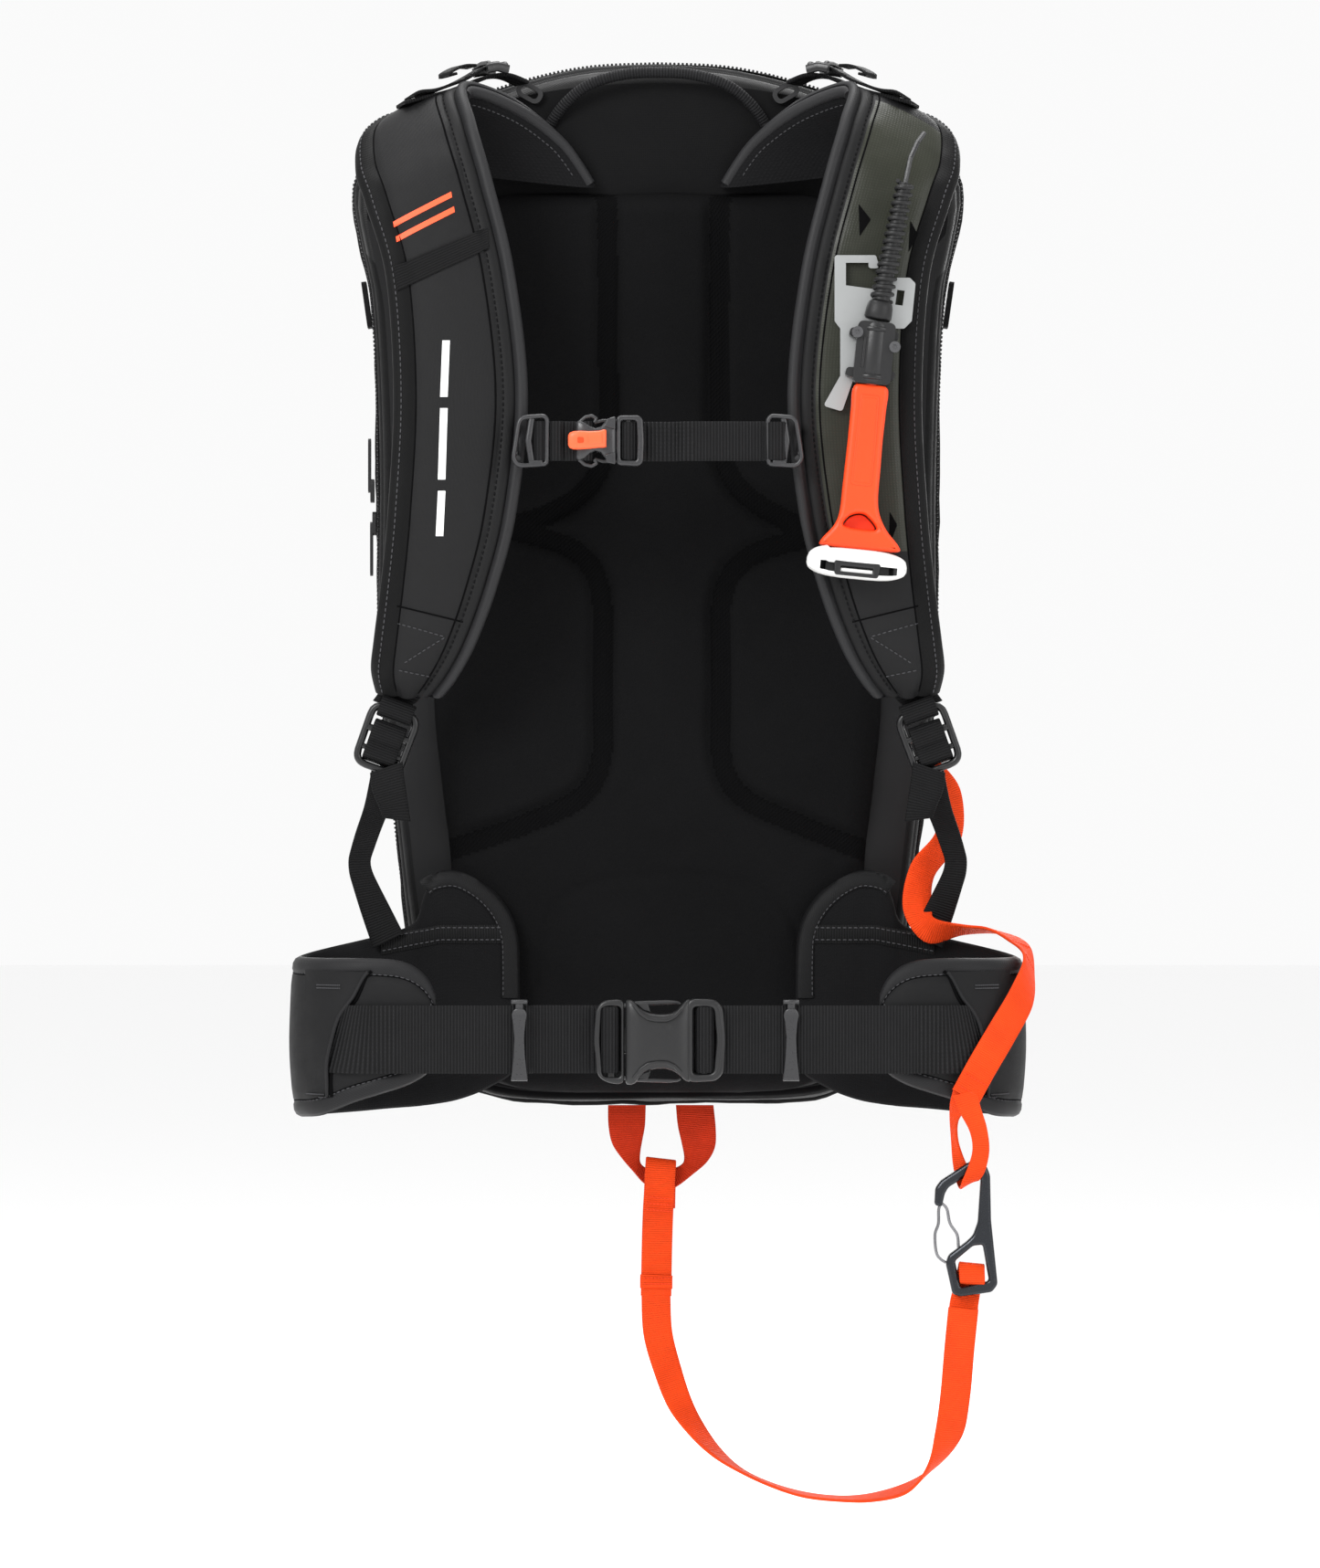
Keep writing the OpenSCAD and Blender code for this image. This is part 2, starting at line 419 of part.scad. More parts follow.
// ---------- leg loop ----------
anchor_a = [[-27, 20, 0], [-26, 20, -12], [-19, 18.5, -28], [-10, 17.5, -38], [2, 17, -41], [14, 17.5, -38], [29, 18.5, -22], [31, 20, -12], [30, 20, 0]];
anchor_b = [[-7, 20, 0], [-8, 20, -12], [-9, 21.5, -27], [-7, 23, -36], [2, 23, -38.5], [11, 23, -36], [19, 21.5, -24], [12, 20, -12], [10, 20, 0]];
module leg_anchor() color([0.75, 0.20, 0.05]) placed() band(smooth(anchor_a, 2), smooth(anchor_b, 2), 1.6);
module leg_drop_strap() color([1, 0.3, 0.05]) placed() translate([-9, 0, 0]) rotate([90, 0, 90]) linear_extrude(leg_web_w) difference() {
  polygon([[14.6, -31], [25.6, -31], [25.6, -46], [22, -60], [22, -103], [18, -103], [18, -60], [14.6, -46]]);
  polygon([[16.2, -32.6], [24, -32.6], [24, -46], [20.5, -58], [19.5, -58], [16.2, -46]]);
}
module leg_strap() color([1, 0.3, 0.05]) placed()
  band(smooth(edge(leg_route, leg_width, leg_web_w / 2), 2), smooth(edge(leg_route, leg_width, -leg_web_w / 2), 2), web_t);
module leg_strap_loop() color([1, 0.3, 0.05]) placed() translate([161.2, 0, 0]) rotate([90, 0, 90]) linear_extrude(12.6) difference() {
  polygon([[-102.2, -83], [-91.2, -83], [-91.2, -93], [-94, -99.5], [-99, -99.5], [-102.2, -93]]);
  polygon([[-100.6, -84.6], [-92.8, -84.6], [-92.8, -95.5], [-100.6, -95.5]]);
}
module hip_leg_loop() color([1, 0.3, 0.05]) placed()
  band(smooth(edge(hip_loop_route, hip_loop_width, leg_web_w / 2), 2), smooth(edge(hip_loop_route, hip_loop_width, -leg_web_w / 2), 2), web_t);
// end loop through the top of the carabiner
module hip_loop_end() color([1, 0.3, 0.05]) placed()
  translate([161.6, 0, 0]) rotate([0, -2, 0]) translate([-5, 0, 0]) rotate([90, 0, 90]) linear_extrude(11) difference() {
    polygon([[-114.8, 11.4], [-113.2, 11.4], [-106, -10], [-90.6, -20], [-90.8, -38], [-94, -41], [-101, -41], [-105, -34], [-107.6, -12]]);
    polygon([[-105.4, -14], [-104, -13], [-92.2, -21], [-92.4, -37.4], [-94.6, -39.4], [-100.2, -39.4], [-103.4, -33.6]]);
  }
carabiner_s = carabiner_h / 72;
carabiner_y = -97;
module leg_carabiner() color([0.25, 0.26, 0.28]) placed() translate([163, carabiner_y, -58]) scale(carabiner_s) plate(-3.5, 3.5)
  offset(r = 1.2, $fn = 24) offset(delta = -1.2) difference() {
    polygon([[-16.5, 13], [-16, 22], [-13, 26], [2, 36], [7, 36.5], [11, 34], [13, 29], [13.5, 5], [16.5, -24], [17, -29],
      [14, -33], [-3, -35.5], [-7, -34], [-10.5, -18], [-9, -13.5], [1, -6], [4, -3], [6.5, 4], [8, 27], [5, 31],
      [-9, 22.5], [-11, 19], [-12.5, 12]]);
    polygon([[-5.6, -16.5], [4, -8.5], [9, -8], [12.4, -27], [-2.6, -30.6]]);
  }
module carabiner_gate() color([0.6, 0.6, 0.62]) placed() translate([163, carabiner_y, -58]) scale(carabiner_s) {
  rod(smooth([[-12.8, -1.3, -15.5], [-16, -1.3, -10], [-17.5, -1.3, 0], [-16.5, -1.3, 9], [-14.6, 0, 10.4],
    [-13, 1.3, 9], [-11, 1.3, 2], [-9.8, 1.3, -5], [-9.2, 1.3, -9.5]], 2), 0.9, 8);
}

back_panel();
frame_tray();
frame_sheet();
frame_stays();
airbag_pack();
fan_unit();
power_pack();
haul_loop();
shoulder_strap_left();
shoulder_strap_right();
trigger_patch();
lifter_webbing_left();
lifter_webbing_right();
lifter_buckles();
lifter_rings();
lower_webbing_left();
lower_webbing_right();
hip_wing_left();
hip_wing_right();
hip_flap_left();
hip_flap_right();
hip_webbing_left();
hip_webbing_right();
hip_buckle_female();
hip_buckle_male();
belt_keeper_left();
belt_keeper_right();
dock_plate();
dock_clamp();
dock_screws();
cable_boot();
release_cable();
trigger_handle();
trigger_cap();
trigger_insert();
chest_clips();
chest_webbing_left();
chest_webbing_right();
chest_buckle_female();
whistle();
chest_buckle_male();
ladder_lock_left();
ladder_lock_right();
zip_track_tray();
zip_track_shell();
zip_slider_lower();
zip_slider_upper();
bag_shell();
lash_loops();
leg_anchor();
leg_drop_strap();
leg_strap();
leg_strap_loop();
hip_leg_loop();
hip_loop_end();
leg_carabiner();
carabiner_gate();
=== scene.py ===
import bpy, math
import numpy as np
from mathutils import Vector, Matrix
from mathutils.bvhtree import BVHTree


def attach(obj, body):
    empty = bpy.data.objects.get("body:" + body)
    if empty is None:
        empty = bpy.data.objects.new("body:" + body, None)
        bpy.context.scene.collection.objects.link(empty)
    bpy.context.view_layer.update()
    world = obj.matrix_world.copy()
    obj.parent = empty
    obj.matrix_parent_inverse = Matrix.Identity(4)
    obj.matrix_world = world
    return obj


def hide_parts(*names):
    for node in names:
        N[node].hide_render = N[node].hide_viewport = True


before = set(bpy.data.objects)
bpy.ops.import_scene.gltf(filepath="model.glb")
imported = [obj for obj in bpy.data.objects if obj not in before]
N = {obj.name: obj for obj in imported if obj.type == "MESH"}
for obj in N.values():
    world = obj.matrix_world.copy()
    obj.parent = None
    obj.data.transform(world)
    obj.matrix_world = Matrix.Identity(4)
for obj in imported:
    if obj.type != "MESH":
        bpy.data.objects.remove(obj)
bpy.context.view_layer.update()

# All lengths below are millimetres in the pack's own coordinates (z from the pack's bottom seam);
# R() turns them into the row frame in metres.
H0 = np.array([0.0, -12.0, 563.0])


def R(p):
    return (np.asarray(p, float) - H0) / 1000.0


# ------------------------------------------------------------------ camera
cam_data = bpy.data.cameras.new("camera")
cam = bpy.data.objects.new("camera", cam_data)
bpy.context.scene.collection.objects.link(cam)
cam_data.lens = 125.8
cam_data.sensor_width = 36.0
cam_data.clip_end = 60
cam.location = R((1.25, -3000, 178))
cam.rotation_euler = (math.pi / 2, 0, 0)
bpy.context.scene.camera = cam


# ------------------------------------------------------------------ curve helpers
def cr(a, b, c, d, t):
    return 0.5 * (2 * b + (c - a) * t + (2 * a - 5 * b + 4 * c - d) * t * t + (3 * b - a - 3 * c + d) * t ** 3)


def smooth(P, n):
    P = np.asarray(P, float)
    out = []
    for i in range(len(P) - 1):
        a, b, c, d = P[max(i - 1, 0)], P[i], P[i + 1], P[min(i + 2, len(P) - 1)]
        out += [cr(a, b, c, d, k / n) for k in range(n)]
    out.append(P[-1])
    return np.array(out)


def resample(P, step=None, n=None, with_cols=None):
    P = np.asarray(P, float)
    L = np.r_[0, np.cumsum(np.linalg.norm(np.diff(P[:, :3], axis=0), axis=1))]
    n = n or max(2, int(round(L[-1] / step)) + 1)
    s = np.linspace(0, L[-1], n)
    return np.stack([np.interp(s, L, P[:, k]) for k in range(P.shape[1])], 1)


def unit(v):
    return v / np.maximum(np.linalg.norm(v, axis=-1, keepdims=True), 1e-9)


def tang(P):
    return unit(np.gradient(P, axis=0))


def wob(p, f, seed=0.0):
    """smooth repeatable wobble, about -1 to 1"""
    x, y, z = p[..., 0] * f, p[..., 1] * f, p[..., 2] * f
    return (np.sin(x * 1.3 + 2.1 * np.sin(z * .7 + seed) + seed) + np.sin(z * 1.1 + 1.7 * np.sin(x * .9 + y + 2 * seed))
            + np.sin(y * 1.2 + x * .6 - z * .8 + 3 * seed)) / 3


# ------------------------------------------------------------------ mesh helpers
def add(name, V, F, mats, uv=None, fm=None, sharp=None, raw=False):
    me = bpy.data.meshes.new(name)
    V = np.asarray(V, float)
    me.from_pydata((V if raw else R(V)).tolist(), [], [list(map(int, f)) for f in F])
    if uv is not None:
        lay = me.uv_layers.new(name="UVMap")
        lay.data.foreach_set("uv", np.asarray(uv, np.float32).ravel())
    for m in (mats if isinstance(mats, (list, tuple)) else [mats]):
        me.materials.append(m)
    if fm is not None:
        me.polygons.foreach_set("material_index", np.asarray(fm, np.int32))
    me.polygons.foreach_set("use_smooth", [True] * len(me.polygons))
    if sharp:
        me.set_sharp_from_angle(angle=math.radians(sharp))
    me.update()
    ob = bpy.data.objects.new(name, me)
    bpy.context.scene.collection.objects.link(ob)
    return ob


def signed(V, F):
    s = 0.0
    for f in F:
        a = V[f[0]]
        for k in range(1, len(f) - 1):
            s += np.dot(a, np.cross(V[f[k]], V[f[k + 1]]))
    return s


def loft(name, rings, mats, closed=True, caps=True, mat_of=None, sharp=None):
    """rings: (n, m, 3). closed: each ring is closed. UV in metres: u round the ring, v along."""
    Rg = np.asarray(rings, float)
    n, m = Rg.shape[:2]
    V = Rg.reshape(-1, 3)
    mm = m if closed else m - 1
    ring_ext = np.concatenate([Rg, Rg[:, :1]], 1) if closed else Rg
    du = np.linalg.norm(np.diff(ring_ext, axis=1), axis=2).mean(0)
    U = np.r_[0, np.cumsum(du)] / 1000
    dv = np.linalg.norm(np.diff(Rg, axis=0), axis=2).mean(1)
    W = np.r_[0, np.cumsum(dv)] / 1000
    F, uv, fm = [], [], []
    for i in range(n - 1):
        for j in range(mm):
            k = (j + 1) % m
            F.append((i * m + j, i * m + k, (i + 1) * m + k, (i + 1) * m + j))
            uv.append([(U[j], W[i]), (U[j + 1], W[i]), (U[j + 1], W[i + 1]), (U[j], W[i + 1])])
            fm.append(mat_of(i, j) if mat_of else 0)
    if closed and caps:
        for i, rev in ((0, True), (n - 1, False)):
            ids = list(range(i * m, i * m + m))
            c = len(V)
            V = np.vstack([V, Rg[i].mean(0)])
            cc = Rg[i].mean(0)
            for j in range(m):
                k = (j + 1) % m
                a, b = ids[j], ids[k]
                F.append((b, a, c) if rev else (a, b, c))
                tri = [(0.0, 0.0), (0.001, 0.0), (0.0, 0.001)]
                uv.append([(V[q][0] / 1000, V[q][2] / 1000) for q in ((b, a, c) if rev else (a, b, c))])
                fm.append(mat_of(min(i, n - 2), j) if mat_of else 0)
    if closed and caps and signed(V, F) < 0:
        F = [tuple(reversed(f)) for f in F]
        uv = [list(reversed(u)) for u in uv]
    flat = [c for f in uv for c in f]
    return add(name, V, F, mats, uv=flat, fm=fm, sharp=sharp)


def grid(name, G, mats, flip=False, sharp=None):
    """open sheet from (n, m, 3) points"""
    return loft(name, G[::-1] if flip else G, mats, closed=False, caps=False, sharp=sharp)


def band(name, A, B, th, mat, nx=6, edge=0.35, step=4.0, off=0.0, sag=None):
    """flat webbing along two edges"""
    AB = resample(np.hstack([(np.asarray(A) + np.asarray(B)) / 2, np.asarray(A), np.asarray(B)]), step=step)
    A, B = AB[:, 3:6], AB[:, 6:9]
    t = tang((A + B) / 2)
    w = unit(B - A)
    n = unit(np.cross(t, w))
    rings = []
    xs = np.r_[0, np.linspace(0.03, 0.97, nx), 1]
    for i in range(len(A)):
        L = np.linalg.norm(B[i] - A[i])
        front = [A[i] + w[i] * x * L + n[i] * (off + th / 2 * (edge if x in (0, 1) else 1)) for x in xs]
        back = [A[i] + w[i] * x * L + n[i] * (off - th / 2 * (edge if x in (0, 1) else 1)) for x in xs[::-1]]
        rings.append(front + back)
    return loft(name, rings, mat, sharp=50)


def tube(name, P, r, mat, sides=12, step=None, up=(0, 1, 0.01), caps=True, closed=False):
    P = np.asarray(P, float)
    if step:
        P = resample(P, step=step)
    rr = np.full(len(P), r) if np.isscalar(r) else np.interp(np.linspace(0, 1, len(P)), np.linspace(0, 1, len(r)), r)
    t = tang(P)
    if closed:
        t[0] = t[-1] = unit(P[1] - P[-2])
    u = unit(np.cross(t, np.array(up, float)))
    v = np.cross(t, u)
    a = np.linspace(0, 2 * math.pi, sides, endpoint=False)
    rings = P[:, None] + rr[:, None, None] * (np.cos(a)[None, :, None] * u[:, None] + np.sin(a)[None, :, None] * v[:, None])
    return loft(name, rings, mat, caps=caps, sharp=50)


def join(name, obs):
    """one object out of several, kept in the first's material slots"""
    import bmesh
    me = bpy.data.meshes.new(name)
    bm = bmesh.new()
    uvn = bm.loops.layers.uv.new("UVMap")
    mats = []
    for o in obs:
        base = len(bm.faces)
        idx = []
        for m in o.data.materials:
            if m not in mats:
                mats.append(m)
            idx.append(mats.index(m))
        bm.from_mesh(o.data)
        bm.faces.ensure_lookup_table()
        for f in bm.faces[base:]:
            f.material_index = idx[min(f.material_index, len(idx) - 1)] if idx else 0
    bm.to_mesh(me)
    bm.free()
    for m in mats:
        me.materials.append(m)
    ob = bpy.data.objects.new(name, me)
    bpy.context.scene.collection.objects.link(ob)
    for o in obs:
        bpy.data.objects.remove(o)
    return ob


def turn(P, origin=(0, 0, 0), rot=0.0, flip=False):
    """turn local points about Y by rot degrees, move them to origin, mirror in x if asked"""
    P = np.asarray(P, float)
    c, s = math.cos(math.radians(rot)), math.sin(math.radians(rot))
    Q = np.stack([P[..., 0] * c + P[..., 2] * s, P[..., 1], -P[..., 0] * s + P[..., 2] * c], -1) + np.array(origin, float)
    if flip:
        Q[..., 0] *= -1
    return Q


def rnd(poly, r, k=4):
    """round the corners of a closed 2-D outline"""
    P = np.array(poly, float)
    out = []
    for i in range(len(P)):
        a, b, c = P[i - 1], P[i], P[(i + 1) % len(P)]
        d = min(r, np.linalg.norm(a - b) * 0.49, np.linalg.norm(c - b) * 0.49)
        p0, p1 = b + unit(a - b) * d, b + unit(c - b) * d
        for t in np.linspace(0, 1, k + 1):
            out.append((1 - t) ** 2 * p0 + 2 * t * (1 - t) * b + t * t * p1)
    return np.array(out)


def closed(poly, n=6):
    """smooth closed curve through 2-D points"""
    P = np.array(poly, float)
    m = len(P)
    return np.array([cr(P[i - 1], P[i], P[(i + 1) % m], P[(i + 2) % m], k / n) for i in range(m) for k in range(n)])


def plate2(name, loops, y0, y1, mat, bev=0.8, origin=(0, 0, 0), rot=0.0, flip=False, sharp=60, crown=None):
    """plate with rounded edges from (x, z) loops, holes included, between depths y0 and y1"""
    cu = bpy.data.curves.new(name + "_c", "CURVE")
    cu.dimensions = "2D"
    cu.fill_mode = "BOTH"
    th = y1 - y0
    bev = min(bev, th / 2 - 0.02)
    cu.extrude = (th / 2 - bev) / 1000
    cu.bevel_depth = bev / 1000
    cu.bevel_resolution = 2
    cu.offset = -bev / 1000
    for L in loops:
        sp = cu.splines.new("POLY")
        sp.points.add(len(L) - 1)
        for q, pt in enumerate(L):
            sp.points[q].co = (pt[0] / 1000, pt[1] / 1000, 0, 1)
        sp.use_cyclic_u = True
    tmp = bpy.data.objects.new(name + "_c", cu)
    bpy.context.scene.collection.objects.link(tmp)
    dg = bpy.context.evaluated_depsgraph_get()
    me = bpy.data.meshes.new_from_object(tmp.evaluated_get(dg))
    V = np.array([v.co for v in me.vertices]) * 1000
    F = [tuple(f.vertices) for f in me.polygons]
    bpy.data.objects.remove(tmp)
    bpy.data.curves.remove(cu)
    bpy.data.meshes.remove(me)
    W = np.stack([V[:, 0], -V[:, 2] + (y0 + y1) / 2, V[:, 1]], 1)
    if crown:
        W = crown(W)
    W = turn(W, origin, rot)
    if flip:
        W[:, 0] *= -1
        F = [tuple(reversed(f)) for f in F]
    return add(name, W, F, mat, sharp=sharp)


def superell(a, b, e=3.0, n=20):
    t = np.linspace(0, 2 * math.pi, n, endpoint=False)
    c, s = np.cos(t), np.sin(t)
    return np.stack([a * np.sign(c) * np.abs(c) ** (2 / e), b * np.sign(s) * np.abs(s) ** (2 / e)], 1)


def hoop(name, loop, y, a, b, mat, origin=(0, 0, 0), rot=0.0, flip=False, e=2.6, n=14, ymap=None):
    """moulded frame: a rounded bar swept round a closed (x, z) outline; a in plane, b in depth (half sizes)"""
    L = np.vstack([loop, loop[:1]])
    L = resample(L, step=1.2)[:-1]
    t = unit(np.roll(L, -1, 0) - np.roll(L, 1, 0))
    nn = np.stack([t[:, 1], -t[:, 0]], 1)
    sec = superell(a, b, e, n)
    rings = []
    for i in range(len(L)):
        yy = y + (ymap(L[i]) if ymap else 0)
        rings.append([[L[i, 0] + nn[i, 0] * q[0], yy + q[1], L[i, 1] + nn[i, 1] * q[0]] for q in sec])
    Rg = turn(np.array(rings), origin, rot, flip)
    m = len(sec)
    V = Rg.reshape(-1, 3)
    k = len(L)
    F = [(i * m + j, i * m + (j + 1) % m, ((i + 1) % k) * m + (j + 1) % m, ((i + 1) % k) * m + j) for i in range(k) for j in range(m)]
    if signed(V, F) < 0:
        F = [tuple(reversed(f)) for f in F]
    return add(name, V, F, mat, sharp=70)


def bar(name, P, a, b, mat, e=2.8, n=14, up=(0, 1, 0), origin=(0, 0, 0), rot=0.0, flip=False, step=None, scale=None):
    """rounded bar along a path; a across, b along 'up'"""
    P = np.array(P, float)
    if step:
        P = resample(P, step=step)
    t = tang(P)
    upv = np.array(up, float)
    u = unit(np.cross(t, upv))
    v = unit(np.cross(u, t))
    sec = superell(a, b, e, n)
    sc = np.ones(len(P)) if scale is None else np.interp(np.linspace(0, 1, len(P)), np.linspace(0, 1, len(scale)), scale)
    rings = P[:, None] + sc[:, None, None] * (sec[None, :, 0, None] * u[:, None] + sec[None, :, 1, None] * v[:, None])
    return loft(name, turn(rings, origin, rot, flip), mat, sharp=60)


def loft_x(name, stations, mat, e=3.2, n=32, origin=(0, 0, 0), rot=0.0, flip=False, sharp=70):
    """moulded body along x; each station is x, z0, z1, y0, y1 (y0 is the front)"""
    rings = []
    for x, z0, z1, y0, y1 in stations:
        sec = superell((y1 - y0) / 2, (z1 - z0) / 2, e, n)
        rings.append([[x, (y0 + y1) / 2 + q[0], (z0 + z1) / 2 + q[1]] for q in sec])
    return loft(name, turn(np.array(rings), origin, rot, flip), mat, sharp=sharp)


def web(name, P, w, th, mat, wdir=(0, 0, 1), step=1.5, nx=8, origin=(0, 0, 0), rot=0.0, flip=False, mat_of=None):
    """short piece of webbing along P; wdir is its width direction"""
    P = np.array(P, float)
    P = resample(smooth(P, 6) if len(P) > 2 else P, step=step)
    W = unit(np.array(wdir, float))
    return band(name, turn(P - W * w / 2, origin, rot, flip), turn(P + W * w / 2, origin, rot, flip), th, mat, nx=nx, step=step)


# ------------------------------------------------------------------ materials
def mk(name, col, rough=0.6, metal=0.0, spec=0.5, coat=0.0, coat_rough=0.2, sheen=0.0, sheen_rough=0.4):
    m = bpy.data.materials.new(name)
    m.use_nodes = True
    nt = m.node_tree
    b = nt.nodes["Principled BSDF"]
    b.inputs["Base Color"].default_value = (*col, 1)
    b.inputs["Roughness"].default_value = rough
    b.inputs["Metallic"].default_value = metal
    b.inputs["Specular IOR Level"].default_value = spec
    b.inputs["Coat Weight"].default_value = coat
    b.inputs["Coat Roughness"].default_value = coat_rough
    b.inputs["Sheen Weight"].default_value = sheen
    b.inputs["Sheen Roughness"].default_value = sheen_rough
    return m, nt, b


def nd(nt, kind, **kw):
    n = nt.nodes.new("ShaderNode" + kind)
    for k, v in kw.items():
        setattr(n, k, v)
    return n


def math_n(nt, op, a, b=None, clamp=False):
    n = nd(nt, "Math", operation=op, use_clamp=clamp)
    for k, v in ((0, a), (1, b)):
        if v is None:
            continue
        if isinstance(v, (int, float)):
            n.inputs[k].default_value = v
        else:
            nt.links.new(v, n.inputs[k])
    return n.outputs[0]


def noise(nt, vec, scale, detail=3, rough=0.55, dist=0.0):
    n = nd(nt, "TexNoise")
    n.inputs["Scale"].default_value = scale
    n.inputs["Detail"].default_value = detail
    n.inputs["Roughness"].default_value = rough
    n.inputs["Distortion"].default_value = dist
    nt.links.new(vec, n.inputs["Vector"])
    return n.outputs["Fac"]


def ramp(nt, fac, lo, hi, a, b):
    """a..b as fac goes lo..hi"""
    n = nd(nt, "MapRange")
    n.inputs["From Min"].default_value = lo
    n.inputs["From Max"].default_value = hi
    n.inputs["To Min"].default_value = a
    n.inputs["To Max"].default_value = b
    nt.links.new(fac, n.inputs["Value"])
    return n.outputs["Result"]


def mixc(nt, fac, c1, c2):
    n = nd(nt, "Mix", data_type="RGBA")
    if isinstance(fac, (int, float)):
        n.inputs[0].default_value = fac
    else:
        nt.links.new(fac, n.inputs[0])
    for k, c in ((6, c1), (7, c2)):
        if isinstance(c, (tuple, list)):
            n.inputs[k].default_value = (*c, 1)
        else:
            nt.links.new(c, n.inputs[k])
    return n.outputs[2]


def bump(nt, b, height, dist=0.0003, strength=0.6):
    n = nd(nt, "Bump")
    n.inputs["Strength"].default_value = strength
    n.inputs["Distance"].default_value = dist
    nt.links.new(height, n.inputs["Height"])
    nt.links.new(n.outputs[0], b.inputs["Normal"])
    return n


def stripes(nt, coord, period, axis):
    """0..1 sine stripes, period in metres, along u (0) or v (1)"""
    sep = nd(nt, "SeparateXYZ")
    nt.links.new(coord, sep.inputs[0])
    a = math_n(nt, "MULTIPLY", sep.outputs[axis], 2 * math.pi / period)
    s = math_n(nt, "SINE", a)
    return math_n(nt, "ADD", math_n(nt, "MULTIPLY", s, 0.5), 0.5)


def cloth(name, col, rough=0.55, pitch=0.0006, kind="plain", var=0.18, sheen=0.0, spec=0.14, depth=0.00012, strength=0.5, wear=0.0, fold=0.0):
    """woven or knitted cloth. UV in metres carries the weave."""
    m, nt, b = mk(name, col, rough, spec=spec, sheen=sheen)
    tc = nd(nt, "TexCoord")
    uv, ob = tc.outputs["UV"], tc.outputs["Object"]
    big = noise(nt, ob, 9, 4)
    mid = noise(nt, ob, 70, 4, 0.6)
    fine = noise(nt, ob, 1400, 2, 0.6)
    a = stripes(nt, uv, pitch, 0)
    c = stripes(nt, uv, pitch, 1)
    if kind == "plain":
        weave = math_n(nt, "MULTIPLY", a, c)
    elif kind == "ripstop":
        w1 = math_n(nt, "MULTIPLY", a, c)
        r1 = ramp(nt, stripes(nt, uv, 0.005, 0), 0.97, 1.0, 0, 1)
        r2 = ramp(nt, stripes(nt, uv, 0.005, 1), 0.97, 1.0, 0, 1)
        weave = math_n(nt, "ADD", w1, math_n(nt, "MAXIMUM", r1, r2))
    elif kind == "twill":
        sep = nd(nt, "SeparateXYZ")
        nt.links.new(uv, sep.inputs[0])
        d = math_n(nt, "ADD", sep.outputs[0], sep.outputs[1])
        weave = math_n(nt, "ADD", math_n(nt, "MULTIPLY", math_n(nt, "SINE", math_n(nt, "MULTIPLY", d, 2 * math.pi / (pitch * 1.6))), 0.5), math_n(nt, "MULTIPLY", a, 0.5))
    else:  # brushed knit
        weave = math_n(nt, "MULTIPLY", fine, 1.0)
    v1 = ramp(nt, big, 0.3, 0.7, 1 - var, 1 + var)
    v2 = ramp(nt, mid, 0.25, 0.75, 0.93, 1.07)
    v3 = ramp(nt, weave, 0, 1, 0.82, 1.12)
    k = math_n(nt, "MULTIPLY", math_n(nt, "MULTIPLY", v1, v2), v3)
    colr = nd(nt, "Mix", data_type="RGBA", blend_type="MULTIPLY")
    colr.inputs[0].default_value = 1
    colr.inputs[6].default_value = (*col, 1)
    comb = nd(nt, "CombineColor")
    for q in range(3):
        nt.links.new(k, comb.inputs[q])
    nt.links.new(comb.outputs[0], colr.inputs[7])
    out = colr.outputs[2]
    if wear:
        wm = ramp(nt, noise(nt, ob, 26, 6, 0.7), 0.58, 0.75, 0, wear)
        out = mixc(nt, wm, out, tuple(min(1, c_ * 2.4 + 0.02) for c_ in col))
    nt.links.new(out, b.inputs["Base Color"])
    nt.links.new(ramp(nt, mid, 0.2, 0.8, rough - 0.08, min(1, rough + 0.1)), b.inputs["Roughness"])
    h = math_n(nt, "ADD", math_n(nt, "MULTIPLY", weave, 1.0), math_n(nt, "MULTIPLY", fine, 0.5))
    if fold:
        f = noise(nt, ob, 38, 3, 0.5, 0.8)
        h = math_n(nt, "ADD", h, math_n(nt, "MULTIPLY", f, fold))
    bump(nt, b, h, depth, strength)
    return m


